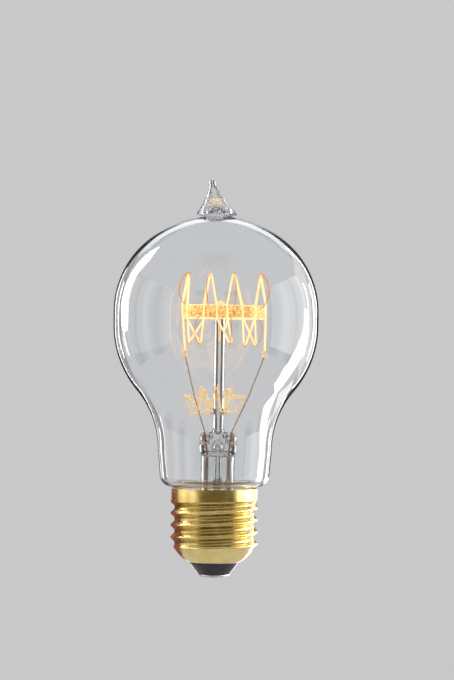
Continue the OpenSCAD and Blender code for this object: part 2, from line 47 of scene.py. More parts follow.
MM = 0.001
ROOT = "root"
# Where the noise is read, so that the ripples and wrinkles always come out the same
SEED = 7

# Globe and neck, as in the solids
GLOBE_R, GLOBE_Z, BAND_H = 30.9, 76.0, 4.0
DOME_R, BROW_R, FLANK_R, FLANK_ANGLE = 33.2, 28.0, 31.0, 40.0
NECK_R, NECK_DRAW, GLASS_WALL = 17.2, 0.7, 0.8
HEEL_R, HEEL_GAP, TUCK_R, SLEEVE_R = 3.3, 0.5, 1.4, 11.0
TIP_H, TIP_FOOT_R, TIP_LEAN = 11.1, 6.1, 1.6
TIP_WALL, TIP_NECK_R, TIP_BALL_R, TIP_HOLE_R, TIP_SEAT_R, TIP_SWEEP = 0.8, 0.95, 1.05, 2.4, 4.2, 1.3

# Cap
CAP_H, CREST_R, THREAD_DEPTH, PITCH, SKIRT_R, SHEET = 27.0, 13.15, 1.2, 3.63, 12.93, 0.3
SHELL_FOOT_R, SHELL_FOOT_Z, SHOULDER_Z, SHOULDER_POWER = 7.5, 4.7, 10.2, 1.48
THREAD_MID_R = CREST_R - THREAD_DEPTH / 2
CREST_Z, CREST_SHARPNESS = 21.2, 0.12
THREAD_FADE_LOW, THREAD_FADE_HIGH, SKIRT_START_Z = (8.4, 10.0), (22.2, 23.6), 21.5
CONE_FOOT_R, CONE_FOOT_Z, CONE_RIM_R = 5.0, 1.15, 7.5
CONE_BLOCK_R, CONE_TOP_Z = 9.3, 8.6
PLATE_Z, PLATE_R, EYELET_R, EYELET_BORE_R, EYELET_TOP_Z = 0.3, 4.8, 1.1, 0.75, 4.2
SOLDER_R, SOLDER_FLAT_R, SOLDER_TOP_Z = 2.2, 1.2, 2.4
SIDE_ANGLE, SIDE_SOLDER_Z, SIDE_SOLDER_R = 118.0, 25.9, 0.95
CEMENT_Z, CEMENT_INSET = (23.7, 26.7), 0.03

# Stem, which leans as one piece about its seal and stands a little beside the lamp's axis
SEAL_Z, STEM_LEAN, STEM_SHIFT = 21.6, 0.4, 0.8
STEM_TUBE_R, TUBE_WALL, FLARE_BEND_R, FLARE_RIM_R = 5.1, 0.85, 4.5, 10.6
PINCH_BASE_Z, PINCH_FLAT_Z, PINCH_TOP_Z, PINCH_W, PINCH_T, PINCH_CORNER_R = 36.6, 38.5, 44.0, 11.4, 4.4, 1.9
BLOW_HOLE_Z, ROD_R, ROD_ROOT_R, PINCH_PRESSED_Z = 39.5, 1.68, 2.1, 38.3
EXHAUST_R, EXHAUST_BORE_R, EXHAUST_END_Z = 1.4, 0.85, 15.0

# Cage
DISC_R, DISC_T, DISC_Z, DISC_EDGE_R, DISC_SHIFT = 12.4, 4.2, 77.9, 0.7, 1.15
STRAND_R, ANCHOR_R, HOOK_GAP, HOOK_LOOP_R = 0.34, 0.13, 0.03, 0.6
TOP_HOOK_R, TOP_HOOK_Z, LOW_HOOK_R, LOW_HOOK_Z = 11.75, 91.0, 12.25, 70.4
ANCHOR_BOW, ANCHOR_ROOT_R, ANCHOR_STEP = 3.2, DISC_R - 1.8, 0.5
LOOP_START, LOOP_END = 50.0, 325.0
CLAMP_Z, CLAMP_H, CLAMP_R, CLAMP_GRIP, CLAMP_ANGLE = 67.5, 2.2, 0.8, 0.7, 88.1
CLAMP_DISTANCE = {-1: 11.5, 1: 12.5}
TOP_ANGLES = [-68.0, -21.0, 14.0, 68.0]
LOW_ANGLES = [[-35.0, 9.0, 50.0], [-57.0, -4.0, 33.0]]
LOW_RISES = [0.5, 0.6, 0.0]
RIM_TOP_ANGLES = [-80.0, -60.0, -28.0, -10.0, 4.0, 25.0, 48.0, 80.0]
RIM_LOW_ANGLES = [-74.0, -60.0, -28.0, -9.0, 5.0, 27.0, 46.5, 80.0]
LEAD_R, OUTER_LEAD_R, SEAL_WIRE_R, SEAL_WIRE_DROP = 0.22, 0.19, 0.28, 0.15
LEAD_X, LEAD_LOW_X, LEAD_GAP = 4.1, 3.0, 0.12

# Wire crown
CROWN_LEFT, CROWN_RIGHT, CROWN_DEPTH, CROWN_H = 10.1, 8.1, 8.0, 7.0
CROWN_LOW_Z, CROWN_ARM_Z, CROWN_LEG_Z, CROWN_LEG_Y = 50.4, 55.2, 49.4, 1.2
CROWN_WIRE_R, CROWN_BEND_CUT, CROWN_SHIFT = 0.25, 0.42, Vector((-0.25, 0, 0))
COLLAR_R, COLLAR_H, COLLAR_Z = 2.6, 2.0, 49.2

# Heights that follow from these
BROW_C = (GLOBE_R - BROW_R, GLOBE_Z + BAND_H)
BROW_ANGLE = degrees(acos(BROW_C[0] / (DOME_R - BROW_R)))
DOME_C = (0.0, BROW_C[1] - (DOME_R - BROW_R) * sin(radians(BROW_ANGLE)))
TOP_Z = DOME_C[1] + DOME_R
TIP_Z = TOP_Z + TIP_H
TIP_NECK_Z = TIP_Z - 1.6
TIP_FOOT_Z = TOP_Z + 0.6
FLANK_C = (GLOBE_R - FLANK_R, GLOBE_Z)
FLANK_COS = cos(radians(FLANK_ANGLE))
THROAT_R = (FLANK_C[0] + FLANK_R * FLANK_COS - NECK_R) / (1 - FLANK_COS)
THROAT_C = (NECK_R + THROAT_R, GLOBE_Z - (FLANK_R + THROAT_R) * sin(radians(FLANK_ANGLE)))
HEEL_C = (NECK_R - NECK_DRAW - HEEL_R, CAP_H + HEEL_GAP + HEEL_R)
TUCK_C = (SLEEVE_R + TUCK_R, CAP_H + HEEL_GAP - TUCK_R)
FLARE_TOP_Z = SEAL_Z + 0.4
DISC_TOP_Z = DISC_Z + DISC_T
BUTTON_TOP_Z = DISC_TOP_Z + 1.6
HOOK_BEND_R = ANCHOR_R + STRAND_R + HOOK_GAP
RIM_R = DISC_R + STRAND_R + 0.04

# How finely pieces are cut, and what counts as nothing or as straight
TURNS, MIDDLE_TURNS, SMALL_TURNS = 160, 96, 48
TINY, STRAIGHT = 1e-6, 172.0


# Where pieces stand
ON_AXIS = Matrix.Identity(4)
ON_STEM = (Matrix.Translation((STEM_SHIFT, 0, SEAL_Z)) @ Matrix.Rotation(radians(STEM_LEAN), 4, "Y")
           @ Matrix.Translation((0, 0, -SEAL_Z)))
ON_DISC = ON_STEM @ Matrix.Translation((DISC_SHIFT, 0, 0))
MIRRORED = ON_DISC @ Matrix.Scale(-1, 4, (0, 1, 0))


# Curves in the plane of radius and height
def arc(centre, r, start, end, steps, first=False):
    """Points along an arc, in degrees, without the first one unless asked"""
    angles = [radians(start + (end - start) * i / steps) for i in range(0 if first else 1, steps + 1)]
    return [(centre[0] + r * cos(angle), centre[1] + r * sin(angle)) for angle in angles]


def softened(points, r, steps=3, closed=True):
    """The outline with each corner cut by a short curve of about radius r"""
    result = []
    count = len(points)
    for i, p in enumerate(points):
        p = Vector(p)
        before = Vector(points[i - 1]) - p
        after = Vector(points[(i + 1) % count]) - p
        at_end = not closed and i in (0, count - 1)
        if at_end or before.length < TINY or after.length < TINY or before.angle(after) > radians(STRAIGHT):
            result.append(p)
            continue
        cut = min(r, before.length * 0.45, after.length * 0.45)
        a = p + before.normalized() * cut
        b = p + after.normalized() * cut
        for k in range(steps + 1):
            t = k / steps
            result.append(a * (1 - t) ** 2 + p * 2 * t * (1 - t) + b * t * t)
    return result


def smooth_path(points, steps):
    """A Catmull-Rom curve through the points"""
    result = []
    for i in range(len(points) - 1):
        a, b, c, d = [points[min(max(k, 0), len(points) - 1)] for k in range(i - 1, i + 3)]
        for k in range(steps):
            t = k / steps
            result.append(0.5 * (2 * b + (c - a) * t + (2 * a - 5 * b + 4 * c - d) * t * t
                                 + (3 * b - a - 3 * c + d) * t ** 3))
    return result + [points[-1]]


def even_path(points, spacing):
    """The same line, cut into even lengths"""
    lengths = [0.0]
    for a, b in zip(points, points[1:]):
        lengths.append(lengths[-1] + (b - a).length)
    count = max(2, round(lengths[-1] / spacing))
    result = []
    k = 0
    for i in range(count + 1):
        goal = lengths[-1] * i / count
        while k < len(points) - 2 and lengths[k + 1] < goal:
            k += 1
        step = max(lengths[k + 1] - lengths[k], TINY)
        result.append(points[k].lerp(points[k + 1], (goal - lengths[k]) / step))
    return result


def share_of(value, start, end):
    """How far a value has come from start to end, from 0 to 1"""
    return min(1.0, max(0.0, (value - start) / (end - start)))


def polar(r, angle, z=0.0):
    """A point at a radius and an angle from +X, in radians"""
    return Vector((r * cos(angle), r * sin(angle), z))


def cage(r, angle, z):
    """A point at a radius and an angle from the front, in degrees"""
    return polar(r, radians(angle - 90), z)


# Making pieces
def new_object(name, data):
    thing = bpy.data.objects.new(name, data)
    bpy.context.scene.collection.objects.link(thing)
    return thing


def make_piece(name, verts, faces, place, material, slot, node, sharp=60.0):
    """A closed smooth mesh that stands for a CAD node and rides on the only body"""
    mesh = bpy.data.meshes.new(name)
    mesh.from_pydata([(place @ Vector(v)) * MM for v in verts], [], faces)
    work = bmesh.new()
    work.from_mesh(mesh)
    bmesh.ops.recalc_face_normals(work, faces=work.faces)
    for face in work.faces:
        face.smooth = True
    for edge in work.edges:
        edge.smooth = edge.calc_face_angle(0.0) < radians(sharp)
    work.to_mesh(mesh)
    work.free()
    mesh.materials.append(material)
    piece = new_object(name, mesh)
    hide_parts(node)
    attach(piece, ROOT)
    return piece


def over_rings(rings, closed=False):
    """Faces over rings of point numbers, one after another; a ring may be a single point"""
    faces = []
    for low, high in zip(rings, rings[1:] + (rings[:1] if closed else [])):
        count = max(len(low), len(high))
        for i in range(count if count > 1 else 0):
            j = (i + 1) % count
            corners = [low[i % len(low)], low[j % len(low)], high[j % len(high)], high[i % len(high)]]
            faces.append(list(dict.fromkeys(corners)))
    return faces


def stacked(count, sides, closed=False):
    """Faces over even rings; a stack that doesn't close on itself gets two end faces"""
    rings = [list(range(k * sides, (k + 1) * sides)) for k in range(count)]
    return over_rings(rings, closed) + ([] if closed else [rings[0], rings[-1]])


def revolved(outline, turns, shape=None):
    """Turns an outline of (radius, height), which closes on itself unless it starts on the axis"""
    verts, rings = [], []
    for r, z in outline:
        sides = 1 if r < TINY else turns
        rings.append(list(range(len(verts), len(verts) + sides)))
        verts += [polar(r, tau * i / turns, z) for i in range(sides)]
    if shape:
        verts = [shape(v) for v in verts]
    return verts, over_rings(rings, closed=len(rings[0]) > 1)


def carried(side, last, way):
    """The direction to the side of a path, carried along as the path turns"""
    if side is None:
        return way.orthogonal().normalized()
    side = last.rotation_difference(way) @ side
    return (side - way * side.dot(way)).normalized()


def swept(path, radius, sides, closed=False, across=None):
    """A round wire along a path; across may give the direction that its section keeps"""
    count = len(path)
    verts = []
    side = last = None
    for k, p in enumerate(path):
        ahead = path[(k + 1) % count] if closed or k < count - 1 else p
        behind = path[k - 1] if closed or k > 0 else p
        way = (ahead - behind).normalized()
        side = way.cross(across(p)).normalized() if across else carried(side, last, way)
        last = way
        up = way.cross(side)
        for j in range(sides):
            angle = tau * j / sides
            verts.append(p + radius * (cos(angle) * side + sin(angle) * up))
    return verts, stacked(count, sides, closed)


def joined(*parts):
    """Several vertex and face lists as one"""
    verts, faces = [], []
    for more_verts, more_faces in parts:
        start = len(verts)
        verts += more_verts
        faces += [[start + i for i in face] for face in more_faces]
    return verts, faces


# Materials
def put(socket, value):
    """Puts a number, a colour or another socket's value on a socket"""
    if isinstance(value, bpy.types.NodeSocket):
        socket.id_data.links.new(value, socket)
    else:
        socket.default_value = (*value, 1) if socket.type == "RGBA" else value


def fill(node, **values):
    """Puts values on a node's inputs; their names have low lines here where Blender has spaces"""
    for name, value in values.items():
        put(node.inputs[name.replace("_", " ")], value)
    return node


def new_node(tree, kind, **values):
    return fill(tree.nodes.new("ShaderNode" + kind), **values)


def new_material(name):
    material = bpy.data.materials.new(name)
    material.use_nodes = True
    tree = material.node_tree
    return material, tree, tree.nodes["Principled BSDF"]


def place_of(tree, stretch=(1, 1, 1)):
    """The point on the piece in metres, stretched"""
    point = new_node(tree, "TexCoord").outputs["Object"]
    return new_node(tree, "Mapping", Vector=point, Scale=stretch).outputs["Vector"]


def span(value, low=0.0, high=1.0, before=(0.0, 1.0)):
    """A value from one range as one from low to high"""
    node = new_node(value.id_data, "MapRange", Value=value, From_Min=before[0], From_Max=before[1],
                    To_Min=low, To_Max=high)
    return node.outputs["Result"]


def grain(tree, size_mm, detail=4.0, stretch=(1, 1, 1), distortion=0.0):
    """Noise from 0 to 1 whose patches are about size_mm across"""
    texture = new_node(tree, "TexNoise", Vector=place_of(tree, stretch), Scale=1 / (size_mm * MM),
                       Detail=detail, Distortion=distortion)
    return span(texture.outputs["Fac"], before=(0.3, 0.7))


def ramp(value, stops):
    """A colour ramp; stops are (position, (r, g, b))"""
    node = new_node(value.id_data, "ValToRGB", Fac=value)
    elements = node.color_ramp.elements
    while len(elements) < len(stops):
        elements.new(0.5)
    for element, (position, colour) in zip(elements, stops):
        element.position = position
        element.color = (*colour, 1)
    return node.outputs["Color"]


def patchy(tree, size_mm, dark, light, detail=4.0):
    """Patches that run from a dark to a light colour"""
    return ramp(grain(tree, size_mm, detail), [(0.0, dark), (1.0, light)])


def bump(height, strength, depth_mm, **below):
    """A relief, over another one where its Normal is given"""
    node = new_node(height.id_data, "Bump", Height=height, Strength=strength, Distance=depth_mm * MM, **below)
    return node.outputs["Normal"]


def blended(share, a, b, mode="MIX"):
    """Colour a turning into colour b as share goes from 0 to 1"""
    node = new_node(share.id_data, "Mix")
    node.data_type = "RGBA"
    node.blend_type = mode
    for index, value in ((0, share), (6, a), (7, b)):
        put(node.inputs[index], value)
    return node.outputs[2]


def worked(kind, *values):
    """A Math node on sockets and numbers, of which the first is a socket"""
    node = new_node(values[0].id_data, "Math")
    node.operation = kind
    for socket, value in zip(node.inputs, values):
        put(socket, value)
    return node.outputs[0]


def radius_of(tree):
    """The distance from the lamp's axis, in millimetres"""
    axes = new_node(tree, "SeparateXYZ", Vector=place_of(tree)).outputs
    squares = [worked("POWER", axes[letter], 2.0) for letter in "XY"]
    return worked("DIVIDE", worked("SQRT", worked("ADD", *squares)), MM)


def height_of(tree):
    """The height above the contact, in millimetres"""
    return worked("DIVIDE", new_node(tree, "SeparateXYZ", Vector=place_of(tree)).outputs["Z"], MM)


def glass_material(name, tints, tint_mm, wave_mm, wave_depth_mm, wave_strength, density, smear):
    """Clear glass with faint waves, and an absorption that darkens where a ray runs along the wall"""
    material, tree, shader = new_material(name)
    fill(shader, Transmission_Weight=1.0, IOR=GLASS_IOR, Base_Color=patchy(tree, tint_mm, *tints),
         Roughness=span(grain(tree, tint_mm * 0.6, detail=6.0), 0.0, smear),
         Normal=bump(grain(tree, wave_mm, detail=2.0), wave_strength, wave_depth_mm))
    absorb = new_node(tree, "VolumeAbsorption", Color=(0.62, 0.66, 0.7), Density=density)
    put(tree.nodes["Material Output"].inputs["Volume"], absorb.outputs["Volume"])
    return material


def patchy_material(name, patches, rough, relief, glow=0.0, **more):
    """Patches as (size, dark, light, detail), roughness as (size, low, high) and a fine relief as (size,
    detail, strength, depth), with the sizes in millimetres"""
    material, tree, shader = new_material(name)
    colour = patchy(tree, *patches)
    fill(shader, Base_Color=colour, Roughness=span(grain(tree, rough[0]), *rough[1:]),
         Normal=bump(grain(tree, *relief[:2]), *relief[2:]), **more)
    if glow:
        fill(shader, Emission_Color=colour, Emission_Strength=glow)
    return material


def wire_material(name, dark, light, glow=0.0):
    """Drawn wire with fine marks, and, where glow is given, a painted glow that stands for the filament's
    light on it
    """
    return patchy_material(name, (0.9, dark, light, 5.0), (0.3, 0.22, 0.42), (0.08, 3.0, 0.25, 0.02), glow,
                           Metallic=1.0)


def solder_material(name, dark, light):
    return patchy_material(name, (0.8, dark, light, 6.0), (0.5, 0.28, 0.52), (0.5, 4.0, 0.4, 0.06),
                           Metallic=1.0)


def glowing_material(name, dull, hot, strength, patch_mm):
    """A hot filament whose glow varies a little along the wire"""
    material, tree, shader = new_material(name)
    glow = patchy(tree, patch_mm, dull, hot, detail=3.0)
    fill(shader, Roughness=0.6, Base_Color=glow, Emission_Color=glow, Emission_Strength=strength)
    return material


def brass_material():
    """Rolled brass: bright crests, darker roots, faint rolling lines, tarnish, and a lighter shoulder that is
    a painted highlight
    """
    material, tree, shader = new_material("rolled_brass")
    crest = span(radius_of(tree), before=(CREST_R - THREAD_DEPTH, CREST_R))
    tarnished = ramp(grain(tree, 5.0, detail=6.0, distortion=0.6),
                     [(0.0, (0.6, 0.43, 0.13)), (0.55, (0.75, 0.57, 0.2)), (1.0, (0.86, 0.7, 0.31))])
    # A lighter brass on the shoulder below the thread: a painted highlight that stands for the bright
    # reflection there
    painted_bright_shoulder = patchy(tree, 4.0, (0.86, 0.66, 0.24), (1.0, 0.82, 0.38), detail=6.0)
    threaded = span(height_of(tree), before=(SHOULDER_Z - 1.0, SHOULDER_Z + 0.5))
    root = worked("MULTIPLY", span(crest, 0.5, 0.0), threaded)
    rooted = blended(root, blended(threaded, painted_bright_shoulder, tarnished), (0.26, 0.17, 0.05))
    specks = ramp(grain(tree, 0.45, detail=3.0), [(0.0, (0.82, 0.8, 0.74)), (0.3, (1, 1, 1))])
    lines = bump(grain(tree, 2.0, detail=5.0, stretch=(1, 1, 14)), 0.08, 0.03)
    fill(shader, Metallic=1.0, Base_Color=blended(span(crest, 1.0, 0.6), rooted, specks, "MULTIPLY"),
         Roughness=span(grain(tree, 3.0, detail=6.0, distortion=1.0), 0.16, 0.34),
         Normal=bump(grain(tree, 4.5, detail=2.0), 0.12, 0.1, Normal=lines))
    return material


def disc_material():
    """The glass disc, coloured amber and glowing as painted light for the filament's light on it, full of
    painted glints, with painted highlights along its bottom and top edges
    """
    material, tree, shader = new_material("amber_lit_glass")
    cell_mm = 0.8
    cells = new_node(tree, "TexVoronoi", Vector=place_of(tree), Scale=1 / (cell_mm * MM)).outputs["Distance"]
    # Painted glints: bright and dark amber cells that stand for the filament's light caught in the glass
    painted_glints = ramp(cells, [(0.0, (1.0, 0.96, 0.7)), (0.16, (1.0, 0.82, 0.38)), (0.4, (0.68, 0.38, 0.1)),
                          (0.8, (0.32, 0.12, 0.025))])
    patches = blended(span(grain(tree, 1.4, detail=5.0), 0.0, 0.45), painted_glints, (1.0, 0.84, 0.44))
    share_up = span(height_of(tree), before=(DISC_Z, DISC_TOP_Z))
    # Painted highlights: a light band along the bottom edge and a fainter one along the top edge
    rim_highlight_greys = ((0.0, 0.9), (0.13, 0.0), (0.9, 0.0), (1.0, 0.6))
    painted_rim_highlights = ramp(share_up, [(at, (grey,) * 3) for at, grey in rim_highlight_greys])
    colour = blended(painted_rim_highlights, patches, (1.0, 0.86, 0.5))
    # The disc glows in its own colour though it is no lamp: a painted glow
    fill(shader, Transmission_Weight=0.75, IOR=GLASS_IOR, Base_Color=colour, Emission_Color=colour,
         Emission_Strength=0.5, Roughness=span(grain(tree, 0.9), 0.02, 0.16), Normal=bump(cells, 0.5, 0.25))
    return material


GLASS_IOR = 1.5
CLEAR = glass_material("blown_glass", ((0.97, 0.985, 0.99), (0.99, 0.995, 1.0)),
                       14.0, 22.0, 0.6, 0.05, 28.0, 0.004)
TIP_GLASS = glass_material("drawn_tip_glass", ((0.95, 0.965, 0.98), (0.99, 0.99, 1.0)),
                           2.0, 3.0, 0.2, 0.1, 45.0, 0.004)
STEM_GLASS = glass_material("stem_glass", ((0.94, 0.95, 0.95), (0.99, 0.99, 0.985)),
                            4.0, 3.0, 0.2, 0.1, 35.0, 0.006)
ROD_GLASS = glass_material("rod_glass", ((0.93, 0.93, 0.92), (0.98, 0.97, 0.95)),
                           5.0, 4.0, 0.15, 0.1, 30.0, 0.006)
FILAMENT_LIT_DISC_GLASS = disc_material()
GLOW_CORE = glowing_material("filament_core", (1.0, 0.7, 0.3), (1.0, 0.84, 0.5), 1.5, 2.5)
GLOW_COIL = glowing_material("filament_coil", (1.0, 0.3, 0.04), (1.0, 0.46, 0.1), 0.95, 4.0)
# Warm colours and a glow on the crown, anchor and clamp wires, and a faint glow on the leads, are painted
# light that stands for the filament's light on them
GLOW_CROWN = wire_material("crown_wire", (0.85, 0.45, 0.1), (1.0, 0.78, 0.34), glow=0.55)
FILAMENT_LIT_ANCHOR_WIRE = wire_material("anchor_wire", (0.62, 0.26, 0.08), (0.95, 0.56, 0.24), glow=0.3)
FILAMENT_LIT_NICKEL_WIRE = wire_material("nickel_wire", (0.42, 0.24, 0.14), (0.8, 0.56, 0.36), glow=0.12)
FILAMENT_LIT_CLAMP_METAL = wire_material("lit_clamp", (0.85, 0.52, 0.24), (1.0, 0.82, 0.5), glow=0.42)
COPPER_WIRE = wire_material("copper_wire", (0.5, 0.16, 0.07), (0.85, 0.4, 0.22))
BRASS = brass_material()
SOLDER = solder_material("worn_solder", (0.36, 0.36, 0.37), (0.74, 0.74, 0.75))
CONTACT_METAL = solder_material("tinned_contact", (0.45, 0.43, 0.4), (0.82, 0.8, 0.76))
# Pressed black glass with a purple cast and a glossy skin
BLACK_GLASS = patchy_material("pressed_black_glass", (2.5, (0.006, 0.005, 0.009), (0.02, 0.015, 0.026), 5.0),
                              (1.2, 0.08, 0.24), (1.6, 3.0, 0.25, 0.08), IOR=1.52, Sheen_Weight=0.2,
                              Sheen_Roughness=0.12, Sheen_Tint=(0.85, 0.72, 1.0))
# Baked cement, warmed in colour and given a painted glow that stands for the filament's light on it
CEMENT = patchy_material("cap_cement", (0.6, (0.7, 0.47, 0.2), (0.92, 0.74, 0.42), 8.0), (0.3, 0.75, 0.95),
                         (0.25, 6.0, 0.7, 0.12), Emission_Color=(1.0, 0.6, 0.22), Emission_Strength=0.16)


# Globe and tip
def glass_outline(depth):
    """The glass from the hole at its top to the sleeve's end, at a depth into the wall"""
    hole_angle = degrees(acos(TIP_HOLE_R / (DOME_R - depth)))
    return (
        arc(DOME_C, DOME_R - depth, hole_angle, BROW_ANGLE, 20, first=True)
        + arc(BROW_C, BROW_R - depth, BROW_ANGLE, 0, 28)
        + [(GLOBE_R - depth, GLOBE_Z + BAND_H / 2), (GLOBE_R - depth, GLOBE_Z)]
        + arc(FLANK_C, FLANK_R - depth, 0, -FLANK_ANGLE, 24)
        + arc(THROAT_C, THROAT_R + depth, 180 - FLANK_ANGLE, 180, 20)
        + arc(HEEL_C, HEEL_R - depth, 6, -90, 16)
        + arc(TUCK_C, TUCK_R + depth, 90, 180, 10)
        + [(SLEEVE_R - depth, FLARE_TOP_Z)])


def make_globe():
    outline = glass_outline(0) + glass_outline(GLASS_WALL)[::-1]
    make_piece("blown_globe", *revolved(outline, TURNS), ON_AXIS, CLEAR, "clear_glass", "glass_envelope", 50)


def tip_outer_r(z):
    return TIP_NECK_R + (TIP_FOOT_R - TIP_NECK_R) * share_of(z, TIP_NECK_Z, TIP_FOOT_Z) ** TIP_SWEEP


def dome_z(r):
    return DOME_C[1] + sqrt(DOME_R ** 2 - r ** 2)


def make_tip():
    """A hollow cone on an overhanging foot, closed under its ball, with a wrinkled inside near the foot"""
    hollow_z = TIP_Z - 2 * TIP_BALL_R - 0.35
    thin_wall = 0.3
    inner = [(0.0, hollow_z)]
    for i in range(1, 61):
        t = i / 60
        z = hollow_z - t ** 1.3 * (hollow_z - TIP_FOOT_Z)
        wall = thin_wall + (TIP_WALL - thin_wall) * t
        shoulder = min(1.0, i / 5) ** 0.5
        inner.append((min(TIP_HOLE_R, (tip_outer_r(z) - wall) * shoulder), z))
    seat = [(TIP_HOLE_R, dome_z(TIP_HOLE_R) + 0.02), (TIP_SEAT_R, dome_z(TIP_SEAT_R) + 0.02)]
    foot = arc((TIP_FOOT_R - 0.38, TIP_FOOT_Z + 0.02), 0.36, -90, 25, 8, first=True)
    skirt_z, steps = TIP_FOOT_Z + 0.25, 36
    heights = [skirt_z + (i / steps) ** 1.2 * (TIP_NECK_Z - skirt_z) for i in range(1, steps + 1)]
    outer = [(tip_outer_r(z), z) for z in heights]
    ball = arc((0, TIP_Z - TIP_BALL_R), TIP_BALL_R, -30, 90, 16)[:-1] + [(0.0, TIP_Z)]

    def leaned(v):
        moved = v - Vector((TIP_LEAN * max(0.0, v.z - TOP_Z) / TIP_H, 0, 0))
        across = hypot(v.x, v.y)
        if across < tip_outer_r(v.z) - thin_wall * 0.9 and TIP_FOOT_Z < v.z < hollow_z - 0.5:
            depth = (hollow_z - v.z) / (hollow_z - TIP_FOOT_Z)
            wrinkle = noise.noise(v * 2.4 + Vector((SEED, 0, 0))) * 0.36 * depth
            moved += Vector((v.x, v.y, 0)).normalized() * wrinkle
        return moved

    tip = revolved(inner + seat + foot + outer + ball, MIDDLE_TURNS, shape=leaned)
    make_piece("drawn_tip", *tip, ON_AXIS, TIP_GLASS, "clear_glass", "pulled_tip", 50)


# Stem
def make_flare():
    """The flared foot of the stem tube; its rim is centred in the neck, and the tube is not"""
    bend = (STEM_TUBE_R + FLARE_BEND_R, FLARE_TOP_Z + FLARE_BEND_R)
    outline = (
        [(STEM_TUBE_R - TUBE_WALL, PINCH_BASE_Z), (STEM_TUBE_R, PINCH_BASE_Z)]
        + arc(bend, FLARE_BEND_R, 180, 270, 20, first=True)
        + arc((FLARE_RIM_R - 0.1, FLARE_TOP_Z - TUBE_WALL / 2), TUBE_WALL / 2, 90, -90, 8)
        + arc(bend, FLARE_BEND_R + TUBE_WALL, 270, 180, 20))

    def off_centre(v):
        return v - Vector((STEM_SHIFT * share_of(hypot(v.x, v.y), STEM_TUBE_R, FLARE_RIM_R) ** 1.5, 0, 0))

    make_piece("flared_stem_tube", *revolved(outline, TURNS // 2, shape=off_centre), ON_STEM, STEM_GLASS,
               "stem_glass", "stem_flare", 35)


def make_exhaust():
    bore_z = EXHAUST_END_Z + (PINCH_BASE_Z - EXHAUST_END_Z) * 0.13
    outline = (
        [(0.0, bore_z), (EXHAUST_BORE_R * 0.7, bore_z + 0.5), (EXHAUST_BORE_R, bore_z + 1.6),
         (EXHAUST_BORE_R, PINCH_BASE_Z), (EXHAUST_R, PINCH_BASE_Z), (EXHAUST_R, EXHAUST_END_Z + EXHAUST_R)]
        + arc((0, EXHAUST_END_Z + EXHAUST_R), EXHAUST_R, 0, -90, 10)[:-1] + [(0.0, EXHAUST_END_Z)])
    make_piece("exhaust_glass_tube", *revolved(outline, SMALL_TURNS), ON_STEM, STEM_GLASS,
               "stem_glass", "exhaust_tube")


def pinch_half_size(z):
    """Half of the pinch's width and thickness at a height"""
    top = PINCH_TOP_Z - PINCH_CORNER_R
    if z < PINCH_FLAT_Z:
        share = share_of(z, PINCH_BASE_Z, PINCH_FLAT_Z)
        ease = share * share * (3 - 2 * share)
        press = sin(pi / 2 * share_of(z, PINCH_BASE_Z, PINCH_PRESSED_Z))
        return (STEM_TUBE_R + (PINCH_W / 2 - STEM_TUBE_R) * ease,
                STEM_TUBE_R + (PINCH_T / 2 - STEM_TUBE_R) * press)
    rise = sqrt(max(0.0, 1 - (max(0.0, z - top) / PINCH_CORNER_R) ** 2))
    return PINCH_W / 2 - PINCH_CORNER_R * (1 - rise), PINCH_T / 2 * rise


def pinch_relief(x, z):
    """The relief on the pinch's flat faces: lobes, a fan below the rod, and the blow hole's ring"""
    lobe_x, lobe_z, lobe_h, fan_top, fan_foot = 3.75, 41.9, 1.25, 42.6, 40.4
    lobe = hypot(abs(x) - lobe_x, (z - lobe_z) / lobe_h)
    lobes = 0.55 * exp(-((lobe - 1.15) / 0.3) ** 2) - 0.35 * exp(-lobe ** 4)
    fan_edge = 1.5 + 0.75 * max(0.0, fan_top - z)
    fan = 0.4 / (1 + exp((abs(x) - fan_edge) / 0.14)) if z > fan_foot else 0.0
    away = hypot(x, z - BLOW_HOLE_Z)
    ring = 0.6 * exp(-((away - 1.3) / 0.28) ** 2) - 1.2 * exp(-(away / 0.75) ** 4)
    crease = 0.14 * noise.noise(Vector((x * 1.3, z * 1.3, SEED)))
    return lobes + fan + ring + crease


def make_pinch():
    """The pinch from round at its hollow base to a flat block with lobes, grooves and a ringed blow hole"""
    sides, steps, dish_steps, dish_depth = 168, 66, 8, 0.5
    side_fade, top_fade = 0.9, 0.7
    top_z = PINCH_TOP_Z - 0.02
    inner_r = STEM_TUBE_R - TUBE_WALL
    angles = [tau * (i + 0.5) / sides for i in range(sides)]
    verts, rings = [], []

    def add_ring(points):
        rings.append(list(range(len(verts), len(verts) + len(points))))
        verts.extend(points)

    def skin(z, angle):
        wide, thick = pinch_half_size(z)
        boxy = share_of(z, PINCH_BASE_Z, PINCH_PRESSED_Z)
        power = 2 + 1.6 * boxy
        k = (abs(cos(angle)) ** power + abs(sin(angle)) ** power) ** (-1 / power)
        x, y = wide * k * cos(angle), thick * k * sin(angle)
        flat = boxy * share_of(abs(x), wide, wide - side_fade) * share_of(z, top_z, top_z - top_fade)
        return Vector((x, y + copysign(pinch_relief(x, z) * flat, y), z))

    for step in range(steps + 1):
        z = PINCH_BASE_Z + (top_z - PINCH_BASE_Z) * (1 - (1 - step / steps) ** 1.25)
        add_ring([skin(z, angle) for angle in angles])
    faces = over_rings(rings) + [rings[-1]]
    del rings[1:]
    add_ring([polar(inner_r, angle, PINCH_BASE_Z) for angle in angles])
    for k in range(2, dish_steps):
        share = 1 - k / dish_steps
        height = PINCH_BASE_Z + dish_depth * (1 - share ** 2.5)
        add_ring([polar(inner_r * share, angle, height) for angle in angles])
    add_ring([Vector((0, 0, PINCH_BASE_Z + dish_depth))])
    faces += over_rings(rings)
    make_piece("pressed_pinch", verts, faces, ON_STEM, STEM_GLASS, "stem_glass", "stem_pinch")


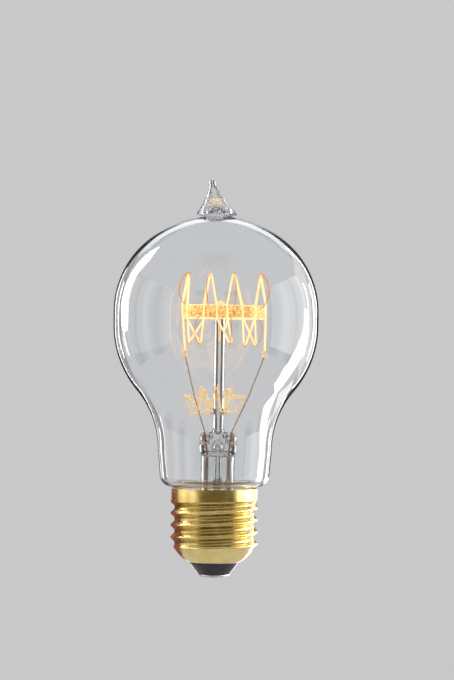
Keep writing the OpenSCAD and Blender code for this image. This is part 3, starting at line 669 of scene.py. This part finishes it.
def make_rod():
    root_z = PINCH_TOP_Z - 0.05
    outline = [(0.0, root_z), (ROD_ROOT_R, root_z), (ROD_R + 0.2, PINCH_TOP_Z + 0.3),
               (ROD_R + 0.06, PINCH_TOP_Z + 0.7), (ROD_R, PINCH_TOP_Z + 1.3)]
    outline += [(ROD_R, COLLAR_Z + COLLAR_H + 2), (ROD_R, DISC_Z - 2), (ROD_R, BUTTON_TOP_Z - ROD_R)]
    outline += arc((0, BUTTON_TOP_Z - ROD_R), ROD_R, 0, 90, 12)[:-1] + [(0.0, BUTTON_TOP_Z)]
    make_piece("glass_centre_rod", *revolved(outline, SMALL_TURNS), ON_STEM, ROD_GLASS,
               "stem_glass", "glass_rod", 50)


def make_disc():
    """The thick disc with a bore for the rod and a rippled edge"""
    bore = ROD_R + 0.03
    edge = DISC_EDGE_R
    across = [bore + (DISC_R - edge - bore) * i / 8 for i in range(9)]
    outline = (
        [(r, DISC_Z) for r in across]
        + arc((DISC_R - edge, DISC_Z + edge), edge, -90, 0, 6)
        + [(DISC_R, DISC_Z + edge + (DISC_T - 2 * edge) * i / 6) for i in range(1, 6)]
        + arc((DISC_R - edge, DISC_TOP_Z - edge), edge, 0, 90, 6, first=True)
        + [(r, DISC_TOP_Z) for r in across[-2::-1]])

    def rippled(v):
        r = hypot(v.x, v.y)
        if r < DISC_R * 0.5:
            return v - Vector((DISC_SHIFT, 0, 0)) if r < bore + 0.01 else v
        ripple = noise.noise(Vector((v.x, v.y, v.z * 1.6)) * 0.7 + Vector((0, SEED, 0)))
        return v + Vector((v.x, v.y, 0)).normalized() * (-0.1 - 0.1 * ripple)

    make_piece("amber_disc", *revolved(outline, TURNS, shape=rippled), ON_DISC, FILAMENT_LIT_DISC_GLASS, "disc_glass",
               "spreader_disc")


# Cage
def hook_bend(r, angle, z, up):
    """The strand's bend round a hook; up is 1 over an upper hook and -1 under a lower one"""
    side = polar(1.0, radians(angle))
    bends = [radians(180 - 22.5 * i) for i in range(9)]
    return [cage(r, angle, z + up * HOOK_BEND_R * (sin(a) - 1)) + HOOK_BEND_R * cos(a) * side for a in bends]


def strand_end(side):
    return cage(CLAMP_DISTANCE[side], side * CLAMP_ANGLE, CLAMP_Z + CLAMP_H / 2 - CLAMP_GRIP)


def filament_path(half):
    """The zigzag from clamp to clamp; half is 0 for the front and 1 for the back"""
    path = [strand_end(-1)]
    for i, (top, low) in enumerate(zip(RIM_TOP_ANGLES, RIM_LOW_ANGLES)):
        at_top, at_low = cage(RIM_R, top, DISC_TOP_Z), cage(RIM_R, low, DISC_Z)
        k = i // 2
        if i % 2 == 0:
            path += [at_low, at_top] + hook_bend(TOP_HOOK_R, TOP_ANGLES[k], TOP_HOOK_Z, 1)
            continue
        path += [at_top, at_low]
        if k < len(LOW_RISES):
            path += hook_bend(LOW_HOOK_R, LOW_ANGLES[half][k], LOW_HOOK_Z + LOW_RISES[k], -1)
    path.append(strand_end(1))
    return path


def coil_along(path, coil_r, points_a_turn):
    """A helix round a path whose points are evenly spaced"""
    result = []
    side = last = None
    for k in range(len(path) - 1):
        way = (path[k + 1] - path[k]).normalized()
        side = carried(side, last, way)
        last = way
        phase = tau * k / points_a_turn
        result.append(path[k] + coil_r * (cos(phase) * side + sin(phase) * way.cross(side)))
    return result


def make_filament(name, node, half, place):
    """A hot core inside a fine coil, both along the zigzag"""
    pitch, turn_points, wire_r = 0.42, 9, 0.08
    path = even_path(filament_path(half), pitch / turn_points)
    coil_r = STRAND_R - wire_r
    core = swept(path[::3] + [path[-1]], coil_r * 0.86, 8)
    coil = swept(coil_along(path, coil_r, turn_points), wire_r, 5)
    piece = make_piece(name, *joined(core, coil), place, GLOW_CORE, "filament", node, 180)
    piece.data.materials.append(GLOW_COIL)
    for polygon in piece.data.polygons[len(core[1]):]:
        polygon.material_index = 1


def bow(a, b):
    """The arc from a to b that bulges outward, in the plane of radius and height"""
    a, b = Vector(a), Vector(b)
    chord = b - a
    half = chord.length / 2
    rho = (half * half + ANCHOR_BOW ** 2) / (2 * ANCHOR_BOW)
    out = Vector((abs(chord.y), -chord.x * copysign(1, chord.y))) / chord.length
    c = (a + b) / 2 - out * (rho - ANCHOR_BOW)
    start = degrees(atan2(a.y - c.y, a.x - c.x))
    end = degrees(atan2(b.y - c.y, b.x - c.x))
    return arc(c, rho, start, end, 24, first=True)


def make_anchor(word, number, r, z, up, angle):
    """A thin wire that bows out from the disc's rim and ends in an open loop round the strand"""
    loop_c = (r, z + up * (HOOK_LOOP_R - HOOK_BEND_R))
    start = radians(LOOP_START)
    entry = (loop_c[0] + HOOK_LOOP_R * cos(start), loop_c[1] + up * HOOK_LOOP_R * sin(start))
    root = (ANCHOR_ROOT_R, DISC_Z + DISC_T / 2 + up * ANCHOR_STEP)
    line = bow(root, entry) + arc(loop_c, HOOK_LOOP_R, up * LOOP_START, up * LOOP_END, 24)
    path = [cage(p[0], angle, p[1]) for p in line]
    make_piece(f"{word}_hook_{number}", *swept(path, ANCHOR_R, 10), ON_DISC, FILAMENT_LIT_ANCHOR_WIRE, "nickel_wire",
               f"{word}_anchor_{number}")


def make_anchors():
    tops = TOP_ANGLES + [180 - a for a in TOP_ANGLES]
    lows = LOW_ANGLES[0] + [180 - a for a in LOW_ANGLES[1]]
    for i, angle in enumerate(tops):
        make_anchor("upper", i + 1, TOP_HOOK_R, TOP_HOOK_Z, 1, angle)
    for i, angle in enumerate(lows):
        make_anchor("lower", i + 1, LOW_HOOK_R, LOW_HOOK_Z + LOW_RISES[i % len(LOW_RISES)], -1, angle)


def make_clamp(side, word):
    """A small crimped tube"""
    top, waist_r = CLAMP_H / 2, CLAMP_R * 0.78
    upper = [(0.0, top), (CLAMP_R * 0.8, top), (CLAMP_R, top - 0.15), (CLAMP_R, 0.55), (waist_r, 0.3)]
    outline = softened([(r, -z) for r, z in upper] + upper[::-1], 0.12, closed=False)
    place = ON_DISC @ Matrix.Translation((side * CLAMP_DISTANCE[side], 0, CLAMP_Z))
    make_piece(f"crimp_{word}", *revolved(outline, 32), place, FILAMENT_LIT_CLAMP_METAL, "nickel_wire",
               f"filament_clamp_{word}", 50)


def make_leads(side, word):
    """The inner lead, and the seal wire with its beaded weld, inside the pinch"""
    top = Vector((side * CLAMP_DISTANCE[side] + DISC_SHIFT, 0, CLAMP_Z - CLAMP_H / 2 + CLAMP_GRIP))
    foot = Vector((side * LEAD_X, 0, PINCH_TOP_Z + LEAD_GAP))
    bowed = foot.lerp(top, 0.55) + Vector((side * 0.35, 0, 0))
    path = smooth_path([foot, foot.lerp(top, 0.12) + Vector((side * 0.1, 0, 0)), bowed, top], 10)
    make_piece(f"lead_{word}", *swept(path, LEAD_R, 12), ON_STEM, FILAMENT_LIT_NICKEL_WIRE, "nickel_wire",
               f"inner_lead_{word}")
    low = Vector((side * LEAD_LOW_X, 0, PINCH_BASE_Z - SEAL_WIRE_DROP))
    high = Vector((side * LEAD_X, 0, PINCH_TOP_Z))
    wire = [low.lerp(high, i / 20) for i in range(21)]
    make_piece(f"copper_seal_{word}", *swept(wire, SEAL_WIRE_R, 12), ON_STEM, COPPER_WIRE, "copper_wire",
               f"seal_wire_{word}")


def outer_lead_top(side):
    lean = tan(radians(STEM_LEAN))
    x = side * LEAD_LOW_X + STEM_SHIFT + (PINCH_BASE_Z - SEAL_Z) * lean
    return Vector((x, 0, PINCH_BASE_Z - SEAL_WIRE_DROP - LEAD_GAP))


def beside(r, z):
    """A point at a radius on the side wire's side"""
    return polar(r, radians(SIDE_ANGLE), z)


def make_outer_leads():
    centre = [outer_lead_top(-1), Vector((-2.3, 0, 26)), Vector((-2.3, 0, 15)), Vector((0, 0, 7)),
              Vector((0, 0, 0.8))]
    make_piece("centre_wire", *swept(smooth_path(centre, 8), OUTER_LEAD_R, 10), ON_AXIS, COPPER_WIRE,
               "copper_wire", "outer_lead_center")
    side = [outer_lead_top(1), Vector((3, 0, 26)), beside(4.5, 20), beside(10, 18.6), beside(11.3, 19.7),
            beside(11.32, 24.6), beside(12.2, 27), beside(12.8, 27.24), beside(13.16, 26.9),
            beside(13.2, 26.2)]
    make_piece("side_wire", *swept(smooth_path(side, 6), OUTER_LEAD_R, 10), ON_AXIS, COPPER_WIRE,
               "copper_wire", "outer_lead_side")


# Crown
def crown_bends():
    """The crown wire's bends, from the left arm round the front to the right arm and back"""
    peak_z, low_z, arm_z, depth = CROWN_LOW_Z + CROWN_H, CROWN_LOW_Z, CROWN_ARM_Z, CROWN_DEPTH
    return [Vector(bend) + CROWN_SHIFT for bend in (
        (-CROWN_LEFT, CROWN_LEG_Y, arm_z), (-7, -4.6, arm_z - 1.8), (-6.5, -5.3, low_z + 0.5),
        (-5.8, -5.8, low_z + 0.5), (-5.5, -6.1, peak_z), (-4.7, -6.5, peak_z), (-3.2, -depth + 0.8, low_z),
        (-2.4, -depth + 0.6, low_z), (-0.9, -depth, peak_z - 0.2), (0, -depth, peak_z - 0.2),
        (1, -depth + 0.2, low_z), (1.9, -depth + 0.4, low_z), (2.3, -depth + 0.8, peak_z - 0.5),
        (4, -depth + 1.6, peak_z - 0.3), (3.6, -5.2, arm_z - 0.9), (CROWN_RIGHT, CROWN_LEG_Y, arm_z - 0.1),
        (3.6, 5.2, arm_z), (4.4, depth - 1.6, peak_z - 0.4), (3.6, depth - 1.2, peak_z - 0.4),
        (3, depth - 0.8, low_z), (2.2, depth - 0.4, low_z), (1.3, depth, peak_z + 0.5),
        (0.5, depth, peak_z + 0.5), (-1.4, depth - 0.3, low_z), (-2.2, depth - 0.5, low_z),
        (-3.9, depth - 1.3, peak_z - 0.9), (-4.7, depth - 1.7, peak_z - 0.9), (-6, 5.7, low_z + 0.5),
        (-6.7, 5.2, low_z + 0.5), (-7, 4.6, arm_z - 0.4))]


def crown_leg(side, foot_x, foot_z, arm_x, arm_z):
    """A leg from the collar by its foot to an arm of the crown"""
    start = (side * (ROD_R + 0.1), CROWN_LEG_Y, CROWN_LEG_Z + 0.8)
    foot = Vector((foot_x, CROWN_LEG_Y, foot_z)) + CROWN_SHIFT
    arm = Vector((arm_x, CROWN_LEG_Y, arm_z)) + CROWN_SHIFT
    bends = softened([start, foot, arm], 0.8, steps=6, closed=False)
    return swept(bends, CROWN_WIRE_R, 12, across=lambda p: Vector((0, 1, 0)))


def make_crown():
    line = softened(crown_bends(), CROWN_BEND_CUT, steps=6)
    ring = swept(line, CROWN_WIRE_R, 12, closed=True, across=lambda p: Vector((p.x, p.y, 0)))
    left_leg = crown_leg(-1, -7.9, CROWN_LEG_Z, -CROWN_LEFT, CROWN_ARM_Z)
    right_leg = crown_leg(1, 5.6, CROWN_LEG_Z + 0.6, CROWN_RIGHT, CROWN_ARM_Z - 0.1)
    make_piece("wire_crown", *joined(ring, left_leg, right_leg), ON_STEM, GLOW_CROWN, "crown_wire",
               "crown_wire")
    outline = softened([(ROD_R + 0.02, COLLAR_Z), (COLLAR_R, COLLAR_Z), (COLLAR_R, COLLAR_Z + COLLAR_H),
                        (ROD_R + 0.02, COLLAR_Z + COLLAR_H)], 0.6, steps=6)
    make_piece("glass_collar", *revolved(outline, SMALL_TURNS), ON_STEM, ROD_GLASS, "stem_glass",
               "crown_collar", 50)


# Cap
def thread_share(z):
    return share_of(z, *THREAD_FADE_LOW) * share_of(z, *THREAD_FADE_HIGH[::-1])


def sheet_rows():
    """Radius, height and inward direction up the brass sheet"""
    rows = []
    for i in range(25):
        a = radians(87 - i * 87 / 24)
        rows.append((SHELL_FOOT_R + (THREAD_MID_R - SHELL_FOOT_R) * cos(a) ** SHOULDER_POWER,
                     SHOULDER_Z - (SHOULDER_Z - SHELL_FOOT_Z) * sin(a) ** SHOULDER_POWER,
                     cos(a), sin(a)))
    step = PITCH / 26
    z = SHOULDER_Z + step
    while z < CAP_H - 0.3:
        share = share_of(z, SKIRT_START_Z, THREAD_FADE_HIGH[1])
        rows.append((THREAD_MID_R + (SKIRT_R - THREAD_MID_R) * share, z, 1.0, 0.0))
        z += step
    rows += [(SKIRT_R + 0.03, CAP_H - 0.18, 1.0, 0.0), (SKIRT_R, CAP_H, 1.0, 0.0)]
    return rows


def make_shell():
    """The brass sheet with its rolled thread, outside and inside"""
    columns = 176
    rows = sheet_rows()
    verts = []

    def point(row, angle, depth):
        u = tau * (row[1] - CREST_Z) / PITCH - angle
        wave = cos(u) + CREST_SHARPNESS * (cos(2 * u) - 1)
        r = row[0] + THREAD_DEPTH / 2 * thread_share(row[1]) * wave - depth * row[2]
        return polar(r, angle, row[1] + depth * row[3])

    for depth, line in ((0.0, rows), (SHEET, rows[::-1])):
        for row in line:
            verts += [point(row, tau * i / columns, depth) for i in range(columns)]
    make_piece("brass_screw_shell", verts, stacked(2 * len(rows), columns, closed=True), ON_AXIS, BRASS,
               "brass_shell", "screw_shell", 55)


def make_insulator():
    bore = EYELET_R + 0.05
    outline = softened([
        (bore, CONE_FOOT_Z), (CONE_FOOT_R - 0.2, CONE_FOOT_Z), (CONE_FOOT_R, CONE_FOOT_Z + 0.3),
        (CONE_RIM_R, SHELL_FOOT_Z - 0.2), (CONE_RIM_R - 0.1, SHELL_FOOT_Z + 0.9),
        (CONE_BLOCK_R, CONE_TOP_Z - 1.7), (CONE_BLOCK_R, CONE_TOP_Z), (bore, CONE_TOP_Z)], 0.3, steps=4)
    make_piece("black_glass_insulator", *revolved(outline, MIDDLE_TURNS), ON_AXIS, BLACK_GLASS, "black_glass",
               "cap_insulator", 50)


def make_contact():
    under_z = CONE_FOOT_Z - 0.01
    outline = softened([
        (EYELET_BORE_R, PLATE_Z), (PLATE_R * 0.72, PLATE_Z), (PLATE_R - 0.1, PLATE_Z + 0.22),
        (PLATE_R, under_z), (EYELET_R, under_z), (EYELET_R, EYELET_TOP_Z),
        (EYELET_BORE_R, EYELET_TOP_Z)], 0.25, steps=4)
    make_piece("contact_disc", *revolved(outline, MIDDLE_TURNS), ON_AXIS, CONTACT_METAL, "contact_metal",
               "contact_plate", 50)

    def cast(v):
        if v.z > PLATE_Z or hypot(v.x, v.y) < SOLDER_FLAT_R:
            return v
        return v * (1 + 0.05 * noise.noise(v * 0.9 + Vector((0, 0, SEED)))) + Vector((0, 0, 0.01))

    outline = [(0.0, 0.0), (SOLDER_FLAT_R, 0.0), (SOLDER_FLAT_R + 0.4, 0.05), (SOLDER_R - 0.25, 0.15),
               (SOLDER_R - 0.03, PLATE_Z - 0.06), (SOLDER_R - 0.05, PLATE_Z - 0.01),
               (EYELET_BORE_R - 0.02, PLATE_Z - 0.01), (EYELET_BORE_R - 0.02, SOLDER_TOP_Z),
               (0.0, SOLDER_TOP_Z)]
    make_piece("contact_blob", *revolved(outline, SMALL_TURNS, shape=cast), ON_AXIS, SOLDER,
               "solder", "contact_solder", 50)


def make_side_solder():
    """A low blob of solder on the shell's rim, over the end of the side wire"""
    rings, sides, lift, lumps = 9, 28, 0.03, 0.1
    middle, out, up = beside(SKIRT_R, SIDE_SOLDER_Z), beside(1, 0), Vector((0, 0, 1))
    along = up.cross(out)
    verts = []
    for k in range(rings):
        a = pi / 2 * k / (rings - 1)
        rise = lift + SIDE_SOLDER_R * 0.86 * sin(a)
        for i in range(sides):
            t = tau * i / sides
            flat = SIDE_SOLDER_R * cos(a) * (1 + lumps * noise.noise(Vector((cos(t), sin(t), a)) * 1.4))
            curve = SKIRT_R - sqrt(max(0.0, SKIRT_R ** 2 - (flat * cos(t)) ** 2))
            verts.append(middle + along * flat * cos(t) + up * flat * sin(t) + out * (rise - curve))
    make_piece("side_solder_blob", verts, stacked(rings, sides), ON_AXIS, SOLDER, "solder", "side_solder")


def make_cement():
    outer_r = SKIRT_R - SHEET - CEMENT_INSET
    tuck_angle = degrees(asin((CEMENT_Z[1] - TUCK_C[1]) / TUCK_R))
    outline = ([(SLEEVE_R + CEMENT_INSET, CEMENT_Z[0]), (outer_r, CEMENT_Z[0]), (outer_r, CEMENT_Z[1])]
               + arc(TUCK_C, TUCK_R - CEMENT_INSET, 180 - tuck_angle, 180, 6))

    def lumpy(v):
        if v.z < CEMENT_Z[0] + 0.1:
            return v + Vector((0, 0, 0.12 + 0.12 * noise.noise(v * 0.6)))
        return v

    make_piece("cement_ring", *revolved(outline, MIDDLE_TURNS, shape=lumpy), ON_AXIS, CEMENT, "cement",
               "cap_cement", 50)


# Camera and light, in metres
CAMERA_AWAY, CAMERA_X, CAMERA_Z, CAMERA_ROLL = 0.8, 0.00335, 0.0716, -0.55
PHOTO_HEIGHT_PX, METRES_A_PIXEL, SENSOR_MM = 680, 0.3013e-3, 36.0
FLOOR_Z, FLOOR_R, FLOOR_FADE_MM = -0.025, 1.4, (60.0, 300.0)
BACKGROUND, AMBIENT = (0.58, 0.58, 0.59), (0.8, 0.8, 0.82)
AIM = Vector((0, 0, 0.06))


def make_camera():
    data = bpy.data.cameras.new("camera")
    data.sensor_width = SENSOR_MM
    data.lens = SENSOR_MM * CAMERA_AWAY / (PHOTO_HEIGHT_PX * METRES_A_PIXEL)
    camera = new_object("camera", data)
    camera.location = (CAMERA_X, -CAMERA_AWAY, CAMERA_Z)
    camera.rotation_euler = (radians(90), radians(CAMERA_ROLL), 0)
    bpy.context.scene.camera = camera


def make_world():
    """The background for camera, glossy and transmission rays, and a paler light for the rest"""
    world = bpy.data.worlds.new("studio")
    world.use_nodes = True
    tree = world.node_tree
    rays = new_node(tree, "LightPath").outputs
    looking = worked("ADD", rays["Is Camera Ray"], rays["Is Glossy Ray"])
    looking = worked("ADD", looking, rays["Is Transmission Ray"])
    fill(tree.nodes["Background"], Color=blended(looking, AMBIENT, BACKGROUND))
    bpy.context.scene.world = world


def studio_piece(name, verts, faces):
    """A mesh in metres that belongs to the studio, with a material of its own"""
    mesh = bpy.data.meshes.new(name)
    mesh.from_pydata(verts, [], faces)
    material, tree, shader = new_material(name)
    mesh.materials.append(material)
    return new_object(name, mesh), shader


def make_floor():
    """A pale disc that fades into the background away from the lamp, and hides nothing from below"""
    outline = [(0.0, FLOOR_Z), (FLOOR_R, FLOOR_Z)]
    floor, shader = studio_piece("floor", *revolved(outline, MIDDLE_TURNS))
    tree = shader.id_data
    fill(shader, Base_Color=(0.86, 0.86, 0.86), Roughness=0.9, Specular_IOR_Level=0.1)
    fade = span(radius_of(tree), before=FLOOR_FADE_MM)
    fade.node.interpolation_type = "SMOOTHSTEP"
    from_below = new_node(tree, "NewGeometry").outputs["Backfacing"]
    gone = worked("MAXIMUM", fade, from_below)
    clear = new_node(tree, "BsdfTransparent")
    mix = new_node(tree, "MixShader")
    for socket, value in zip(mix.inputs, (gone, shader.outputs[0], clear.outputs[0])):
        put(socket, value)
    put(tree.nodes["Material Output"].inputs["Surface"], mix.outputs[0])


def make_lamp(name, bearing, elevation, away, width, height, radiance, tint=(1, 1, 1), through=False):
    """A soft box; bearing 0 is the front and 90 is the right; it shows in gloss, or only through glass"""
    rise = radians(elevation)
    place = AIM + cage(away * cos(rise), bearing, away * sin(rise))
    data = bpy.data.lights.new(name, "AREA")
    data.shape = "RECTANGLE"
    data.size, data.size_y = width, height
    data.color = tint
    data.energy = radiance * pi * width * height
    lamp = new_object(name, data)
    lamp.location = place
    lamp.rotation_euler = (AIM - place).to_track_quat("-Z", "Y").to_euler()
    lamp.visible_camera = False
    lamp.visible_transmission = through
    lamp.visible_glossy = not through


def make_lamps():
    """Two large boxes at the sides, narrower ones behind, and two strips for the stem's edge lines"""
    warm, cool, pink = (1.0, 0.97, 0.92), (0.88, 0.94, 1.0), (1.0, 0.95, 0.92)
    make_lamp("left_box", -83, 4, 1.0, 1.3, 0.9, 1.1, warm)
    make_lamp("right_box", 92, 4, 1.0, 1.05, 0.9, 2.8)
    make_lamp("right_rear_box", 134, 4, 1.0, 0.5, 0.9, 1.2)
    make_lamp("right_rim_strip", 152, 4, 0.9, 0.05, 0.8, 6.0)
    make_lamp("left_rim_strip", -154, -4, 0.9, 0.05, 0.6, 4.5)
    make_lamp("top_rear_strip", 180, 34, 1.1, 1.3, 0.26, 1.8, cool)
    for word, bearing in (("left", -142.5), ("right", 142.5)):
        make_lamp(f"stem_strip_{word}", bearing, 1, 0.9, 0.06, 0.4, 7.0, pink, through=True)


# Cards and flags, in millimetres, as a studio stands them round glass
def make_card(name, rows, shade, glow=0.0, through=False):
    """A card of rows of (middle, half across) that only shows in gloss, or also through glass"""
    verts, faces = [], []
    for k, (middle, half) in enumerate(rows):
        verts += [(middle - half) * MM, (middle + half) * MM]
        if k:
            faces.append([2 * k - 2, 2 * k - 1, 2 * k + 1, 2 * k])
    card, shader = studio_piece(name, verts, faces)
    fill(shader, Base_Color=shade, Roughness=1.0, Emission_Color=shade, Emission_Strength=glow)
    card.visible_camera = False
    card.visible_transmission = through
    card.visible_diffuse = False
    card.visible_shadow = False


def bent(bends, across):
    """Rows through bends of (x, y, z, half width)"""
    across = Vector(across).normalized()
    return [(Vector(bend[:3]), across * bend[3]) for bend in bends]


def facing(bearing, line, half):
    """Rows that face the lamp's axis from a bearing, along a line of (distance, height)"""
    return [(cage(away, bearing, z), half * cage(1, bearing + 90, 0)) for away, z in line]


def make_cards():
    """The long bands in the glass, the cap's two sides and the light edges of the insulator"""
    left_bends = [(-138, 56, 66, 11), (-136, 60, 78, 22), (-135, 61, 110, 22), (-133, 66, 150, 20),
                  (-131, 68, 200, 24), (-123, 85, 236, 4)]
    right_bends = [(142, 50, 88, 4), (140, 52, 76, 12), (142, 44, 46, 22), (144, 38, 15, 24),
                   (136, 34, -16, 26), (88, 30, -18, 20)]
    make_card("left_band_card", bent(left_bends, (0.4, 0.92, 0)), (1, 1, 1), 8.0)
    make_card("right_band_card", bent(right_bends, (-0.33, 0.94, 0)), (1, 1, 1), 8.0)
    make_card("cap_left_card", facing(-125, [(15, 26), (28, 26), (28, 4), (15, 1)], 16), (0.25, 0.07, 0.1))
    make_card("cap_right_card", facing(140, [(88, -5), (88, 23)], 29), (1.0, 0.96, 0.88), 2.4)
    make_card("cone_left_card", facing(-156, [(68, -22), (68, -8)], 24), (1.0, 0.82, 0.92), 1.3)
    make_card("cone_right_card", facing(154, [(68, -22), (68, -6)], 24), (1.0, 0.9, 1.0), 2.0)


def make_flags():
    """A wide dim flag in front, and far dark ones that outline the globe, off the usual viewing angles"""
    make_card("front_flag", facing(7, [(1100, -340), (1100, 460)], 1200), (0.16, 0.14, 0.11))
    aside = 17
    bearings = [quarter + turn for quarter in (0, 90, 180, 270) for turn in (-aside, aside)]
    for i, bearing in enumerate(bearings):
        rows = facing(bearing, [(1600, -740), (1600, 860)], 220)
        make_card(f"edge_flag_{i + 1}", rows, (0.03, 0.03, 0.032), through=True)


make_camera()
make_globe()
make_tip()
make_flare()
make_exhaust()
make_pinch()
make_rod()
make_disc()
make_filament("glowing_zigzag_front", "filament_front", 0, ON_DISC)
make_filament("glowing_zigzag_back", "filament_back", 1, MIRRORED)
make_anchors()
for side, word in ((-1, "left"), (1, "right")):
    make_clamp(side, word)
    make_leads(side, word)
make_outer_leads()
make_crown()
make_shell()
make_insulator()
make_contact()
make_side_solder()
make_cement()
make_world()
make_floor()
make_lamps()
make_cards()
make_flags()

bpy.context.scene.view_settings.view_transform = "Standard"
